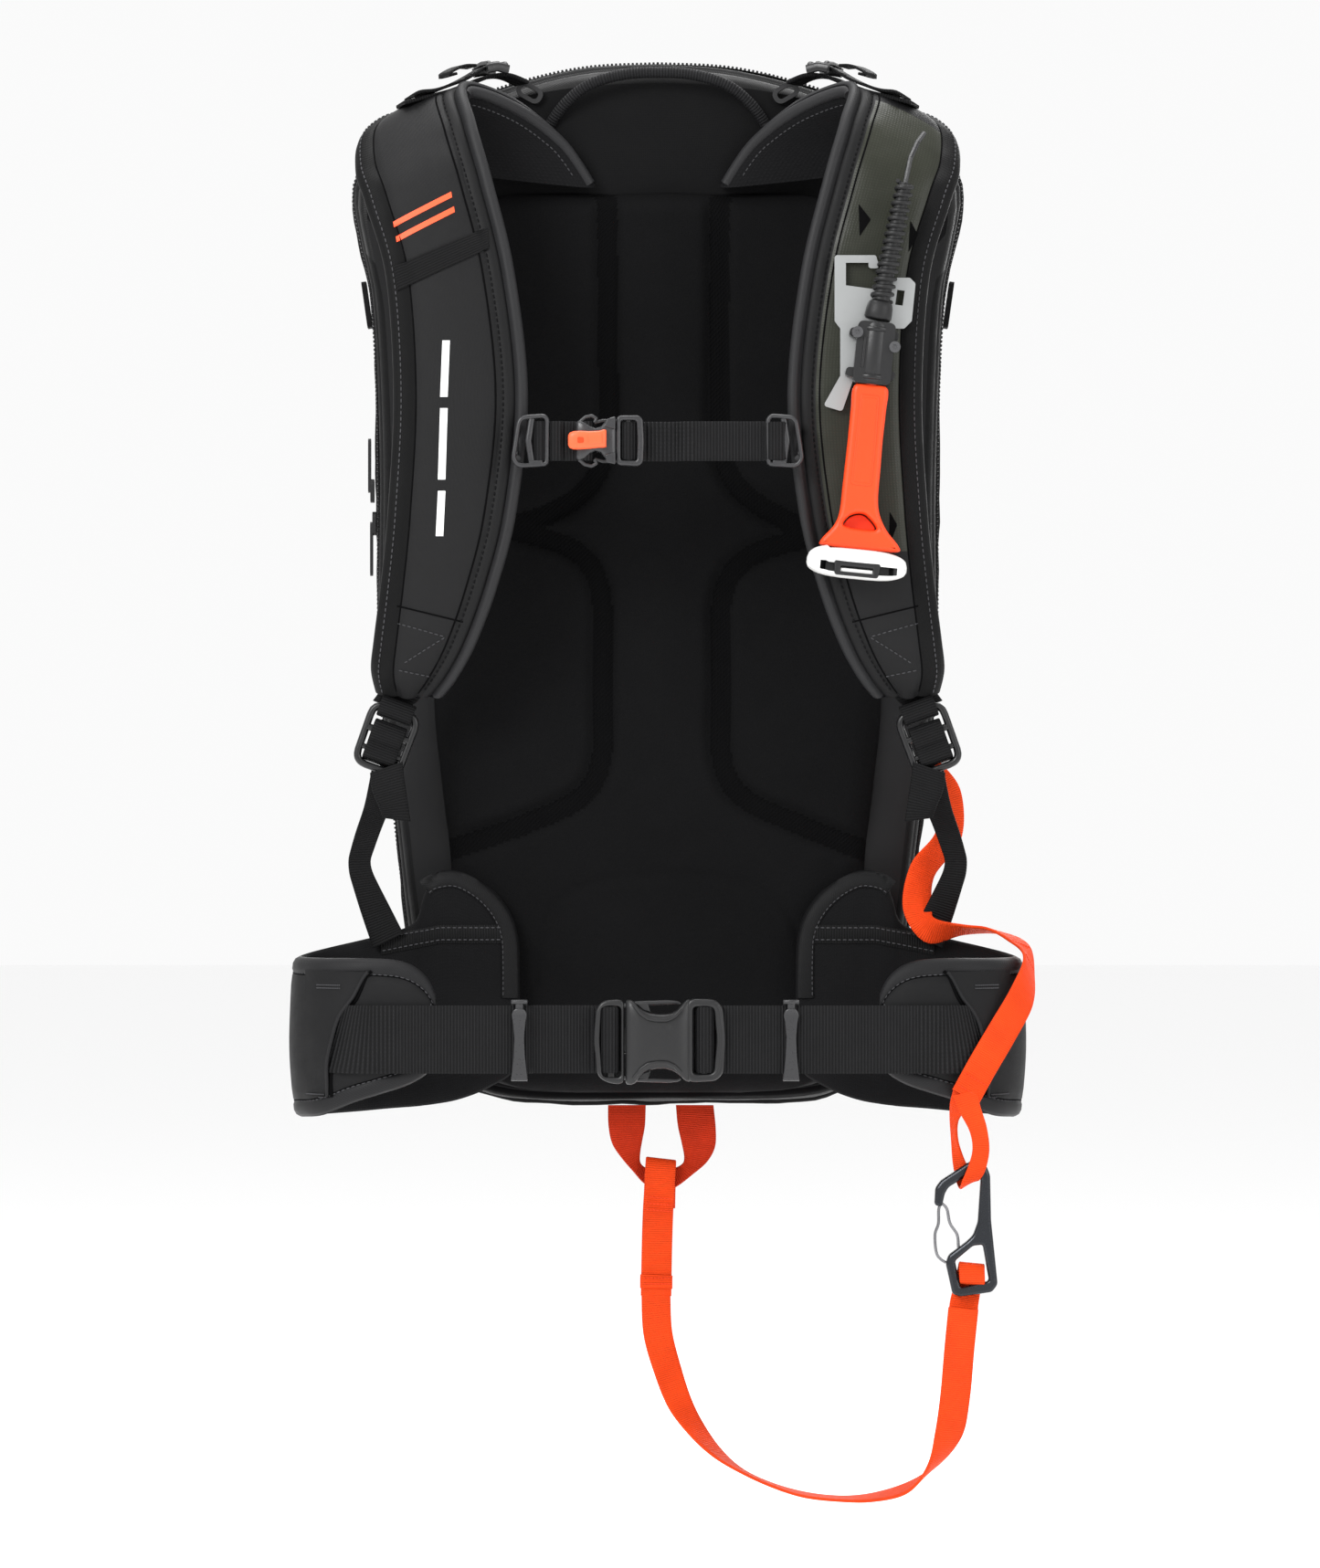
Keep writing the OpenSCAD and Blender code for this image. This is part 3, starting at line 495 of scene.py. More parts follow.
def webmat(name, col, rib=0.0016, along=0, rough=0.55, fine=0.0007, edge=0.0, var=0.1, depth=0.0003, sheen=0.15, low=0.36):
    """ribbed webbing: ribs run across u (along=0) or along the length (along=1)"""
    m, nt, b = mk(name, col, rough, spec=0.12, sheen=0)
    tc = nd(nt, "TexCoord")
    uv, ob = tc.outputs["UV"], tc.outputs["Object"]
    ribs = stripes(nt, uv, rib, 1 - along)
    thr = stripes(nt, uv, fine, along)
    thr2 = stripes(nt, uv, fine * 1.0, 1 - along)
    mid = noise(nt, ob, 60, 4)
    fz = noise(nt, ob, 1800, 2)
    hh = math_n(nt, "ADD", ribs, math_n(nt, "MULTIPLY", math_n(nt, "MULTIPLY", thr, thr2), 0.45))
    k = math_n(nt, "MULTIPLY", ramp(nt, hh, 0.0, 1.4, low, 1.3 - 0.25 * (low > 0.5)), ramp(nt, mid, 0.3, 0.7, 1 - var, 1 + var))
    k = math_n(nt, "MULTIPLY", k, ramp(nt, fz, 0.3, 0.7, 0.93, 1.07))
    colr = nd(nt, "Mix", data_type="RGBA", blend_type="MULTIPLY")
    colr.inputs[0].default_value = 1
    colr.inputs[6].default_value = (*col, 1)
    comb = nd(nt, "CombineColor")
    for q in range(3):
        nt.links.new(k, comb.inputs[q])
    nt.links.new(comb.outputs[0], colr.inputs[7])
    nt.links.new(colr.outputs[2], b.inputs["Base Color"])
    nt.links.new(ramp(nt, ribs, 0, 1, rough + 0.12, rough - 0.05), b.inputs["Roughness"])
    bump(nt, b, math_n(nt, "ADD", hh, math_n(nt, "MULTIPLY", fz, 0.3)), depth, 0.8)
    return m


def plastic(name, col, rough=0.4, grain=700, var=0.08, depth=0.00006, spec=0.5, coat=0.0, scuff=0.25, metal=0.0):
    m, nt, b = mk(name, col, rough, metal=metal, spec=spec, coat=coat)
    tc = nd(nt, "TexCoord")
    ob = tc.outputs["Object"]
    g = noise(nt, ob, grain, 3, 0.6)
    big = noise(nt, ob, 24, 4)
    sc = noise(nt, ob, 120, 6, 0.75, 1.5)
    s = ramp(nt, sc, 0.60, 0.72, 0, scuff)
    base = mixc(nt, ramp(nt, big, 0.3, 0.7, 0, 1), tuple(c * (1 - var) for c in col), tuple(min(1, c * (1 + var)) for c in col))
    lite = tuple(min(1, c * 1.5 + 0.03) for c in col)
    nt.links.new(mixc(nt, s, base, lite), b.inputs["Base Color"])
    nt.links.new(math_n(nt, "ADD", ramp(nt, g, 0.3, 0.7, rough - 0.05, rough + 0.08), math_n(nt, "MULTIPLY", s, 0.35)), b.inputs["Roughness"])
    bump(nt, b, math_n(nt, "ADD", g, math_n(nt, "MULTIPLY", sc, 0.4)), depth, 0.5)
    return m


M = {}
M["back_mesh"] = cloth("back_mesh", (0.0042, 0.0042, 0.0045), 0.86, kind="knit", var=0.14, spec=0.06, depth=0.0003, strength=0.9)
# channel: a smoother twill for the panel's grooves; its colour is also darker than the knit as painted shade in those
# recesses
M["channel"] = cloth("channel", (0.0026, 0.0026, 0.0028), 0.9, 0.0016, kind="twill", var=0.12, spec=0.05, depth=0.0003, strength=0.8)
M["top_cloth"] = cloth("top_cloth", (0.0045, 0.0045, 0.0048), 0.75, 0.0009, "plain", 0.14, fold=0.8, spec=0.08)
M["pack_cloth"] = cloth("pack_cloth", (0.0048, 0.0048, 0.0051), 0.62, 0.0007, "ripstop", 0.15, fold=1.6, depth=0.0003, spec=0.12)
M["side_cloth"] = cloth("side_cloth", (0.0085, 0.0085, 0.0091), 0.5, 0.0006, "plain", 0.12, fold=0.8, spec=0.16)
M["root_cloth"] = cloth("root_cloth", (0.0035, 0.0035, 0.0037), 0.55, 0.0009, "plain", 0.14, fold=1.2, spec=0.12)
M["strap_cloth"] = cloth("strap_cloth", (0.0078, 0.0078, 0.0083), 0.5, 0.00055, "plain", 0.12, fold=2.2, depth=0.00022, spec=0.16)
M["strap_band"] = cloth("strap_band", (0.0062, 0.0062, 0.0066), 0.5, 0.0007, "plain", 0.10, spec=0.16)
M["strap_edge"] = cloth("strap_edge", (0.0028, 0.0028, 0.0030), 0.55, 0.0008, "twill", 0.12, spec=0.12, fold=0.6)
M["strap_back"] = cloth("strap_back", (0.0075, 0.0075, 0.0081), 0.85, 0.0022, "plain", 0.12, depth=0.0005, spec=0.08)
M["piping"] = cloth("piping", (0.0155, 0.0155, 0.0166), 0.48, 0.0007, "twill", 0.08, spec=0.22)
M["rim"] = cloth("rim", (0.0035, 0.0035, 0.0037), 0.45, 0.0008, "twill", 0.08, spec=0.2)
M["binding"] = cloth("binding", (0.0110, 0.0110, 0.0118), 0.5, 0.0009, "twill", 0.10, spec=0.16)
M["wing_cloth"] = cloth("wing_cloth", (0.0068, 0.0068, 0.0073), 0.55, 0.0006, "plain", 0.16, fold=2.6, depth=0.0002, spec=0.14)
M["wing_root"] = cloth("wing_root", (0.0026, 0.0026, 0.0028), 0.6, 0.0009, "plain", 0.14, fold=1.6, spec=0.1)
M["root_binding"] = cloth("root_binding", (0.0062, 0.0062, 0.0066), 0.55, 0.0009, "twill", 0.10, spec=0.12)
M["wing_in"] = cloth("wing_in", (0.0060, 0.0060, 0.0065), 0.8, 0.0012, "plain", 0.12, depth=0.0003, fold=0.8, spec=0.08)
M["patch"] = cloth("patch", (0.0200, 0.0215, 0.0145), 0.34, 0.0014, "plain", 0.16, fold=1.4, depth=0.0001, spec=0.22)
M["webbing"] = webmat("webbing", (0.0095, 0.0095, 0.0102), 0.0017, 0, depth=0.0005)
M["webbing_loose"] = webmat("webbing_loose", (0.0095, 0.0095, 0.0102), 0.0022, 0, fine=0.0022, depth=0.0006)
M["webbing_fine"] = webmat("webbing_fine", (0.0050, 0.0050, 0.0054), 0.0014, 0)
M["rolled_web"] = webmat("rolled_web", (0.0110, 0.0110, 0.0119), 0.0016, 0, fine=0.001)
M["orange_web"] = webmat("orange_web", (0.84, 0.060, 0.006), 0.0011, 0, 0.6, 0.0006, depth=0.0003, low=0.62)
# darker copy of orange_web: painted shade for the anchor loop under the pack
M["orange_web_painted_shade"] = webmat("orange_web_painted_shade", (0.52, 0.028, 0.005), 0.0011, 0, 0.6, 0.0006, depth=0.0003, low=0.62)
M["thread"] = plastic("thread", (0.0480, 0.0480, 0.0514), 0.6, spec=0.2)
M["thread_dark"] = plastic("thread_dark", (0.004, 0.004, 0.0045), 0.7, spec=0.1)
M["thread_orange"] = plastic("thread_orange", (0.72, 0.05, 0.01), 0.6, spec=0.2)
M["seam"] = plastic("seam", (0.0022, 0.0022, 0.0024), 0.9, spec=0.05)
M["black_plastic"] = plastic("black_plastic", (0.0060, 0.0060, 0.0064), 0.32, 500, scuff=0.18, spec=0.4)
M["grey_plastic"] = plastic("grey_plastic", (0.0130, 0.0130, 0.0139), 0.36, 500, scuff=0.2, spec=0.4)
M["buckle_plastic"] = plastic("buckle_plastic", (0.0080, 0.0080, 0.0086), 0.38, 900, scuff=0.25, spec=0.4)
M["clip_plastic"] = plastic("clip_plastic", (0.0240, 0.0240, 0.0257), 0.3, 700, scuff=0.2, spec=0.45)
M["boot"] = plastic("boot", (0.0060, 0.0060, 0.0064), 0.5, 900, scuff=0.1, spec=0.35)
M["orange"] = plastic("orange", (0.84, 0.056, 0.008), 0.42, 900, var=0.05, scuff=0.06, spec=0.3)
M["whistle"] = plastic("whistle", (0.90, 0.115, 0.04), 0.34, 600, var=0.05, scuff=0.05, spec=0.3)
M["white"] = plastic("white", (0.70, 0.70, 0.69), 0.42, 800, var=0.04, scuff=0.0)
M["metal"] = plastic("metal", (0.40, 0.41, 0.41), 0.36, 1200, var=0.06, scuff=0.15, metal=0.85, depth=0.00004)
M["screw"] = plastic("screw", (0.50, 0.50, 0.52), 0.3, 1500, metal=1.0, scuff=0.1)
M["screw_dark"] = plastic("screw_dark", (0.13, 0.13, 0.135), 0.28, 1500, metal=1.0, scuff=0.1)
M["airbag_cloth"] = cloth("airbag_cloth", (0.62, 0.045, 0.008), 0.6, 0.0008, "ripstop", 0.12, fold=1.6, depth=0.0003, spec=0.15)
M["carabiner"] = plastic("carabiner", (0.030, 0.032, 0.036), 0.26, 1400, metal=0.85, scuff=0.3)
M["wire"] = plastic("wire", (0.20, 0.20, 0.21), 0.25, 1500, metal=1.0, scuff=0.1)
M["mark_white"] = plastic("mark_white", (0.78, 0.78, 0.78), 0.5, 900, var=0.03, scuff=0.0)
M["mark_orange"] = plastic("mark_orange", (1.0, 0.09, 0.02), 0.5, 900, var=0.03, scuff=0.0)
M["bottom_cloth"] = cloth("bottom_cloth", (0.0022, 0.0022, 0.0024), 0.9, 0.0009, "plain", 0.14, fold=1.0, spec=0.03)
M["zip"] = plastic("zip", (0.0100, 0.0100, 0.0108), 0.4, 800, spec=0.35)

BODY = {}


def place(ob, body, rep=()):
    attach(ob, body)
    if rep:
        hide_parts(*rep)
    return ob


# ------------------------------------------------------------------ the two free straps of the leg loop
leg_route = [[-1, 20, -103], [0, 18, -124], [5, 15, -143], [12, 11, -162], [21, 6, -176],
             [32, 0, -188], [45, -6, -197], [63, -16, -204], [82, -27, -208], [101, -40, -208],
             [119, -52, -205], [136, -64, -198], [148, -74, -185], [155, -82, -168], [158, -88, -148],
             [160, -93, -122], [162, -96, -100]]
leg_width = [[1, 0, 0], [1, 0, 0], [1, 0.3, 0], [0.8, 0.6, 0.3], [0.6, 1, 0.3], [0.3, 1, 0.1],
             [0, 1, 0], [-0.1, 1, 0], [0, 1, 0], [0.1, 1, 0], [0.3, 1, 0.2], [0.4, 0.9, 0.4], [0.6, 0.6, 0.3],
             [1, 0.3, 0], [1, 0, 0], [1, 0, 0], [1, 0, 0]]
hip_route = [[146, -30, 186], [157, -27, 172], [158, -22, 150], [144, -20, 131], [141, -27, 110],
             [148, -34, 98.5], [166, -30, 99], [182, -36, 98.5], [194, -50, 92.5], [198.6, -68, 80.5], [193.6, -87, 65],
             [182.5, -100.5, 47], [171.5, -106, 29], [162.5, -108.5, 13]]
hip_width = [[1, 0, -0.3], [0.9, 0.2, 0.3], [0.9, 0.4, -0.2], [0.8, 0.4, -0.4], [1, 0.2, 0.1],
             [0.6, -0.5, 0.6], [0.1, -0.9, 0.3], [-0.2, -0.95, 0.1], [-0.3, -0.9, -0.1], [-0.25, -0.8, 0.2], [-0.6, -0.2, 0.6],
             [-0.8, 0.1, 0.5], [-0.9, 0, 0.4], [-1, 0, 0.3]]


def route_edges(P, W, h, n=8):
    P, W = np.array(P, float), np.array(W, float)
    t = np.zeros_like(P)
    for i in range(len(P)):
        t[i] = unit(P[min(i + 1, len(P) - 1)] - P[max(i - 1, 0)])
    w = unit(W - t * (W * t).sum(1, keepdims=True))
    return smooth(P + w * h, n), smooth(P - w * h, n), smooth(P, n)


LEG_W = 16.0
a, b, c = route_edges(leg_route, leg_width, LEG_W / 2)
def stitches(name, P, Q, mat, pitch=3.2, ln=2.1, r=0.32, lift=0.15):
    """row of thread stitches along P with surface normals Q"""
    L = np.r_[0, np.cumsum(np.linalg.norm(np.diff(P, axis=0), axis=1))]
    s = np.arange(pitch / 2, L[-1], pitch)
    C = np.stack([np.interp(s, L, P[:, k]) for k in range(3)], 1)
    T = tang(P)
    T = unit(np.stack([np.interp(s, L, T[:, k]) for k in range(3)], 1))
    Nn = unit(np.stack([np.interp(s, L, Q[:, k]) for k in range(3)], 1))
    B = np.cross(T, Nn)
    V, F = [], []
    for c, t, n, b in zip(C, T, Nn, B):
        base = len(V)
        for q, k in ((-0.5, 0.35), (-0.28, 1.0), (0.28, 1.0), (0.5, 0.35)):
            for a_ in (0, 72, 144, 216, 288):
                V.append(c + t * ln * q + n * lift + (b * math.cos(math.radians(a_)) + n * math.sin(math.radians(a_))) * r * k)
        for i in range(3):
            for j in range(5):
                F.append((base + i * 5 + j, base + i * 5 + (j + 1) % 5, base + i * 5 + 5 + (j + 1) % 5, base + i * 5 + 5 + j))
        F.append(tuple(base + j for j in (4, 3, 2, 1, 0)))
        F.append(tuple(base + 15 + j for j in range(5)))
    return add(name, V, F, mat)


# the carabiner, a rounded forging, and the webbing folds that hold it
CO = (163, -97, -58)
carab = plate2("carabiner_body", [rnd([[-16.5, 13], [-16, 22], [-13, 26], [2, 36], [7, 36.5], [11, 34], [13, 29], [13.5, 5], [16.5, -24], [17, -29], [14, -33], [-3, -35.5],
                                       [-7, -34], [-10.5, -18], [-9, -13.5], [1, -6], [4, -3], [6.5, 4], [8, 27], [5, 31], [-9, 22.5], [-11, 19], [-12.5, 12]], 1.6),
                                  rnd([[-5.6, -16.5], [4, -8.5], [9, -8], [12.4, -27], [-2.6, -30.6]], 1.3)], -3.5, 3.5, M["carabiner"], 1.5, CO)
place(carab, "harness", ["leg_carabiner"])


def strip(name, P, W, h, mat, th=1.4, step=1.0, nx=6):
    a_, b_, _ = route_edges(P, W, h)
    return band(name, a_, b_, th, mat, nx=nx, step=step)


hip_end = strip("hip_strap_end", [[162.5, -108.6, 15], [164.5, -109.8, 7], [169.0, -109.6, -4], [170.6, -107.6, -15], [168.6, -104.6, -25], [165.6, -101.6, -31.5], [164.4, -97, -33.4],
                                  [162.8, -92.6, -31], [160.0, -91.0, -23], [157.6, -93.0, -11], [156.8, -98.5, 0], [158.6, -104, 7.5], [161.6, -107.0, 14]],
                [[-1, 0, 0.3], [-1, 0, 0.3], [-1, 0.1, 0.1], [-1, 0.2, 0], [-0.95, 0.1, -0.3], [-0.9, 0, -0.45], [-0.86, 0, -0.5], [-0.86, 0, -0.5], [-0.7, 0.5, -0.3], [-0.4, 0.9, 0],
                 [-0.5, 0.8, 0.1], [-0.9, 0.3, 0.3], [-1, 0, 0.3]],
                np.array([7.0, 5.8, 4.7, 4.5, 4.7, 5.2, 5.4, 4.8, 3.8, 3.2, 3.2, 4.6, 6.2])[:, None], M["orange_web"])
gate = tube("gate_wire", smooth([[152.6, -97, -75.6], [147.9, -97, -71.2], [146.9, -97, -61], [148.7, -97, -55], [148.9, -97, -47.4], [150.4, -97, -44.4], [153.2, -97, -47.2], [154.8, -97, -54.7], [158.6, -97, -60.8], [159.3, -97, -67.6]], 5), 0.8, M["wire"], 10)
place(gate, "gate", ["carabiner_gate"])
place(hip_end, "harness", ["hip_loop_end"])
leg_h = np.array([7.8, 7.6, 7.2, 6.9, 6.8, 6.8, 6.8, 6.7, 6.5, 6.4])[:, None]
leg_end = strip("leg_strap_end", [[161.7, -95.2, -106], [162.6, -92.6, -97.5], [164.4, -91.8, -89], [165.8, -92.4, -80.5], [166.3, -95, -76.8], [166.3, -98.6, -76.6], [166.2, -101.2, -79.8],
                                  [166.4, -101.5, -84], [166.6, -99.2, -86.4], [166.5, -96.6, -86.2]],
                [[1, 0, 0], [1, 0, -0.05], [1, 0, -0.1], [1, 0, -0.1], [1, 0, -0.1], [1, 0, -0.1], [1, 0, -0.1], [1, 0, -0.1], [1, 0, -0.1], [1, 0, -0.1]], leg_h, M["orange_web"])
place(leg_end, "harness", ["leg_strap_loop"])

leg_strap = band("leg_strap_web", a, b, 1.5, M["orange_web"], nx=8, step=2.5)
place(leg_strap, "harness", ["leg_strap"])
a, b, c = route_edges(hip_route, hip_width, LEG_W / 2)
hip_loop = band("hip_leg_web", a, b, 1.5, M["orange_web"], nx=8, step=2.5)
place(hip_loop, "harness", ["hip_leg_loop"])
bits_ = []
for q_ in (-3, -6, -34, -40):
    a1_, b1_ = a[q_], b[q_]
    L_ = np.array([a1_ + (b1_ - a1_) * v_ for v_ in np.linspace(0.08, 0.92, 12)])
    t_ = unit(c[q_] - c[q_ - 1])
    n_ = unit(np.cross(b1_ - a1_, t_))
    n_ = n_ if n_[1] < 0 else -n_
    bits_.append(stitches("s", L_ + n_ * 0.75, np.repeat([n_], 12, 0), M["thread_orange"], 1.9, 1.4, 0.3))
hs_ = join("hip_strap_stitching", bits_)
place(hs_, "harness")
# anchor loop under the pack and the strap that wraps it; the loop is in a darker copy of the orange webbing, painted
# shade under the pack
anchor = join("anchor_loop", [
    band("an", smooth([[-27.4, 20, 1], [-27.2, 20, -10], [-25.2, 20, -20], [-20, 19.5, -28], [-13, 19, -36], [-7, 18.5, -42.4], [0, 18, -44]], 6),
         smooth([[-6.6, 21, 1], [-7, 21, -10], [-8.4, 21, -18], [-9.6, 21.5, -25], [-9.6, 22, -31], [-6, 22, -34], [0, 21.5, -36]], 6), 1.5, M["orange_web_painted_shade"], nx=8, step=1.5),
    band("an", smooth([[30.7, 20, 1], [32, 20, -12], [31.6, 20, -22], [27.4, 19.5, -30], [20, 19, -36.5], [9, 18.5, -44.6], [0, 18, -46]], 6),
         smooth([[10, 21, 1], [11, 21, -10], [13.2, 21, -20], [14.6, 21.5, -28], [13, 22, -32], [6, 22, -35], [0, 21.5, -37]], 6), 1.5, M["orange_web_painted_shade"], nx=8, step=1.5)])
place(anchor, "harness", ["leg_anchor"])
DP = [[1.2, 24.0, -56], [1.4, 25.2, -47], [1.6, 25.0, -37], [1.8, 22.4, -30.4], [1.8, 18, -29.0], [1.6, 15, -31.6], [1.2, 14.4, -38], [0.8, 14.9, -47], [0.2, 17, -57], [-0.4, 18.8, -75], [-0.8, 19.6, -97], [-0.9, 20.0, -104]]
DW = [[1, 0, -0.12]] * 8 + [[1, 0, -0.06]] * 2 + [[1, 0, 0]] * 2
drop = strip("drop_strap", DP, DW, 8.4, M["orange_web"], 1.5, 1.0, 8)
hem = strip("drop_hem", [[-0.7, 18.4, -92.5], [-0.8, 18.0, -95], [-0.8, 17.9, -98.6], [-0.8, 19.2, -99.6]], [[1, 0, -0.03]] * 4, 8.9, M["orange_web"], 1.3, 0.8, 6)
rows = []
for zr in (-49.5, -53.0, -56.5):
    rows.append(np.array([[x_, 16.9 - (zr + 57) * 0.26 - 1.75, zr - x_ * 0.1] for x_ in np.linspace(-6.6, 8.0, 12)]))
for zr in (-94.0, -97.2):
    rows.append(np.array([[x_, 17.1, zr] for x_ in np.linspace(-8, 6.6, 12)]))
thread_rows = [stitches("s", q_, np.repeat([[0, -1.0, 0]], len(q_), 0), M["thread_orange"], 1.9, 1.5, 0.3) for q_ in rows]
drop = join("leg_drop_web", [drop, hem] + thread_rows)
place(drop, "harness", ["leg_drop_strap"])

# ------------------------------------------------------------------ pack body
half_outline = [[0, 579], [40, 577], [80, 568], [115, 555], [145, 540], [165, 522], [170, 505],
                [166, 480], [160, 450], [157, 400], [156, 340], [156, 280], [155, 230], [151, 190], [146, 150],
                [140, 100], [132, 50], [112, 14], [80, 1], [0, 0]]
rs = smooth(half_outline, 6)
rs = resample(rs, n=90)
outline = np.vstack([rs, [[-p[0], p[1]] for p in rs[-2:0:-1]]])
MZ = 285.0


def ring(s, y, d=0.0, puff=None):
    p = outline
    out = np.stack([p[:, 0] * (s - d / 157), np.full(len(p), y), MZ + (p[:, 1] - MZ) * (s - d / 290)], 1)
    return out


def cloth_wobble(rings, amp, f=0.02, seed=0.0, keep=()):
    Rg = np.array(rings, float)
    c = np.array([0, 0, MZ])
    n = Rg - c
    n[..., 1] = 0
    n = unit(n)
    w = wob(Rg, f, seed)[..., None] * amp
    fade = np.ones(len(Rg))
    for k in keep:
        fade[k] = 0
    return Rg + n * w * fade[:, None, None]


# tray: front lip, rolled top rim and gusset, then inside
ys = [(0.60, -0.6), (0.80, -0.9), (0.90, -1.2), (0.935, -1.4), (0.9485, -1.0), (0.957, 0.5), (0.963, 2.8), (0.966, 5.2), (0.966, 7.0),
      (0.9655, 7.8), (0.9715, 8.6), (0.977, 10.5), (0.980, 14), (0.982, 18), (0.9835, 22), (0.984, 25.4)]
tray_rings = [ring(s, y) for s, y in ys] + [ring(0.9845, 26.5), ring(0.9845, 29.7, 2.8), ring(0.955, 2.2, 3)]
tray_rings = cloth_wobble(tray_rings, 0.7, 0.03, 1.0, keep=(0, 1, 15, 16, 17, 18))


def tray_mat(i, j):
    z = outline[j % len(outline)][1]
    if i < 3:
        return 3 if z > 500 else (4 if z < 60 else 0)
    if i < 10:
        return 2 if z > 470 else (4 if z < 60 else 1)
    return 4 if z < 60 else 1


tray = loft("tray_cloth", tray_rings, [M["side_cloth"], M["pack_cloth"], M["rim"], M["top_cloth"], M["bottom_cloth"]], mat_of=tray_mat, sharp=70)
place(tray, "harness", ["frame_tray"])

# upper back of the tray, above the moulded panel: soft cloth with a shallow bulge
top_pts = []
for v in np.linspace(0, 1, 30):
    row = []
    for u in np.linspace(-1, 1, 60):
        hw = 118 - 34 * v ** 1.6
        x = u * hw
        ztop = 285 + (579 - 0.00092 * x * x * 1.0 - 285) * 0.957 - 5 - abs(x / 100) ** 3 * 6
        z = 499 + (ztop - 499) * v
        bulge = 3.4 * (1 - abs(u) ** 3) * math.sin(math.pi * min(1, v * 0.95 + 0.04)) ** 0.7
        row.append([x, -1.6 - bulge + 0.35 * math.sin(x * 0.11 + z * 0.05) * (1 - v), z])
    top_pts.append(row)
top_sheet = grid("upper_back_cloth", np.array(top_pts), M["top_cloth"])
place(top_sheet, "harness")

# shell: the zipped compartment, a lofted bag with soft folds in its cloth
sh = [(0.985, 30.6), (0.987, 33), (0.991, 40), (0.997, 52), (1.001, 66), (1.001, 84), (0.998, 102), (0.992, 118), (0.982, 132),
      (0.966, 146), (0.945, 157), (0.915, 167), (0.88, 175), (0.84, 181), (0.79, 185.5), (0.70, 187.4), (0.5, 187.6), (0.25, 187.7), (0.06, 187.7)]
shell_out = np.array([ring(s, y) for s, y in sh[::-1]])
shell_in = np.array([ring(s, y, 3) for s, y in sh[:12]])
shell_out = np.array([resample(np.vstack([q, q[:1]]), n=241)[:-1] for q in shell_out])
dense = smooth(shell_out.reshape(len(shell_out), -1), 4)
shell_out = dense.reshape(len(dense), -1, 3)
shell_in = np.array([resample(np.vstack([q, q[:1]]), n=241)[:-1] for q in shell_in])
c0 = np.array([0, 90.0, MZ])
dirn = unit((shell_out - c0) * np.array([1, 0.9, 0.45]))
fold_ = 1.5 * wob(shell_out, 0.028, 3.1) + 0.9 * wob(shell_out * np.array([1, 1, 0.35]), 0.11, 0.4) + 0.5 * wob(shell_out, 0.2, 5.0)
hold = np.clip((shell_out[..., 1] - 36) / 22, 0, 1) * (1 - 0.35 * np.clip((shell_out[..., 1] - 186) / 1.5, 0, 1))
shell_out = shell_out + dirn * (np.minimum(fold_, 1.6) - 1.4)[..., None] * hold[..., None]
low = np.clip((200 - shell_out[..., 2]) / 200, 0, 1)
shell = loft("bag_cloth", np.concatenate([shell_out, shell_in]), [M["pack_cloth"]], sharp=70, mat_of=lambda i, j: 0)
place(shell, "bag", ["bag_shell"])
fronts = []
for yq, off_ in ((168, 0.6), (58, 0.4)):
    k_ = int(np.argmin(np.abs(shell_out[:, :, 1].mean(1) - yq)))
    Pq = shell_out[k_] + unit((shell_out[k_] - c0) * np.array([1, 0.9, 0.45])) * off_
    fronts.append(tube("bag_piping", np.vstack([Pq, Pq[:1]]), 1.7, M["strap_edge"], 8, closed=False))
    n_ = unit((shell_out[k_ - 3] - c0) * np.array([1, 0.9, 0.45]))
    fronts.append(stitches("s", shell_out[k_ - 3], n_, M["thread_dark"], 4.0, 2.8, 0.4))
bp = join("bag_seams", fronts)
place(bp, "bag")
BVH = {}


def bvh_of(ob):
    me = ob.data
    return BVHTree.FromPolygons([v.co.copy() for v in me.vertices], [tuple(p.vertices) for p in me.polygons])


# ------------------------------------------------------------------ moulded back panel
panel_half = [[0, 501], [60, 500], [92, 496], [108, 480], [116, 440], [119, 380], [118, 300], [121, 226],
              [117, 180], [112, 132], [110, 70], [100, 26], [70, 12], [0, 10]]
ps = smooth(panel_half, 12)
zz = ps[:, 1]
order = np.argsort(zz)


def seg_dist(px, pz, line):
    d = np.full(px.shape, 1e9)
    L = smooth(line, 8)
    for i in range(len(L) - 1):
        a, b = L[i], L[i + 1]
        ab = b - a
        t = np.clip(((px - a[0]) * ab[0] + (pz - a[1]) * ab[1]) / (ab @ ab), 0, 1)
        d = np.minimum(d, np.hypot(px - a[0] - t * ab[0], pz - a[1] - t * ab[1]))
    return d


channels = [[[-28, 506], [-28, 430], [-28, 375], [-34, 347], [-52, 330], [-80, 320], [-125, 312]],
            [[33, 506], [33, 430], [33, 375], [39, 347], [56, 330], [84, 317], [125, 308]],
            [[-125, 330], [-79, 317], [-46, 306], [-32, 284], [-31, 240], [-31, 195], [-42, 172], [-75, 156], [-125, 139]],
            [[125, 328], [84, 314], [50, 303], [35, 282], [34, 240], [34, 195], [45, 172], [78, 156], [125, 137]]]
NZ, NX = 330, 170
zs = np.linspace(10.3, 500.7, NZ)
hw = np.interp(zs, zz[order], ps[order, 0])
u = np.linspace(-1, 1, NX)
u = np.sign(u) * (1 - (1 - np.abs(u)) ** 1.15)
PX = u[None, :] * hw[:, None]
PZ = np.repeat(zs[:, None], NX, 1)
edge = np.minimum(hw[:, None] - np.abs(PX), np.minimum(PZ - 10.3, 500.7 - PZ))
Hh = 12.4 * (1 - (1 - np.clip(edge / 13, 0, 1)) ** 2.4)
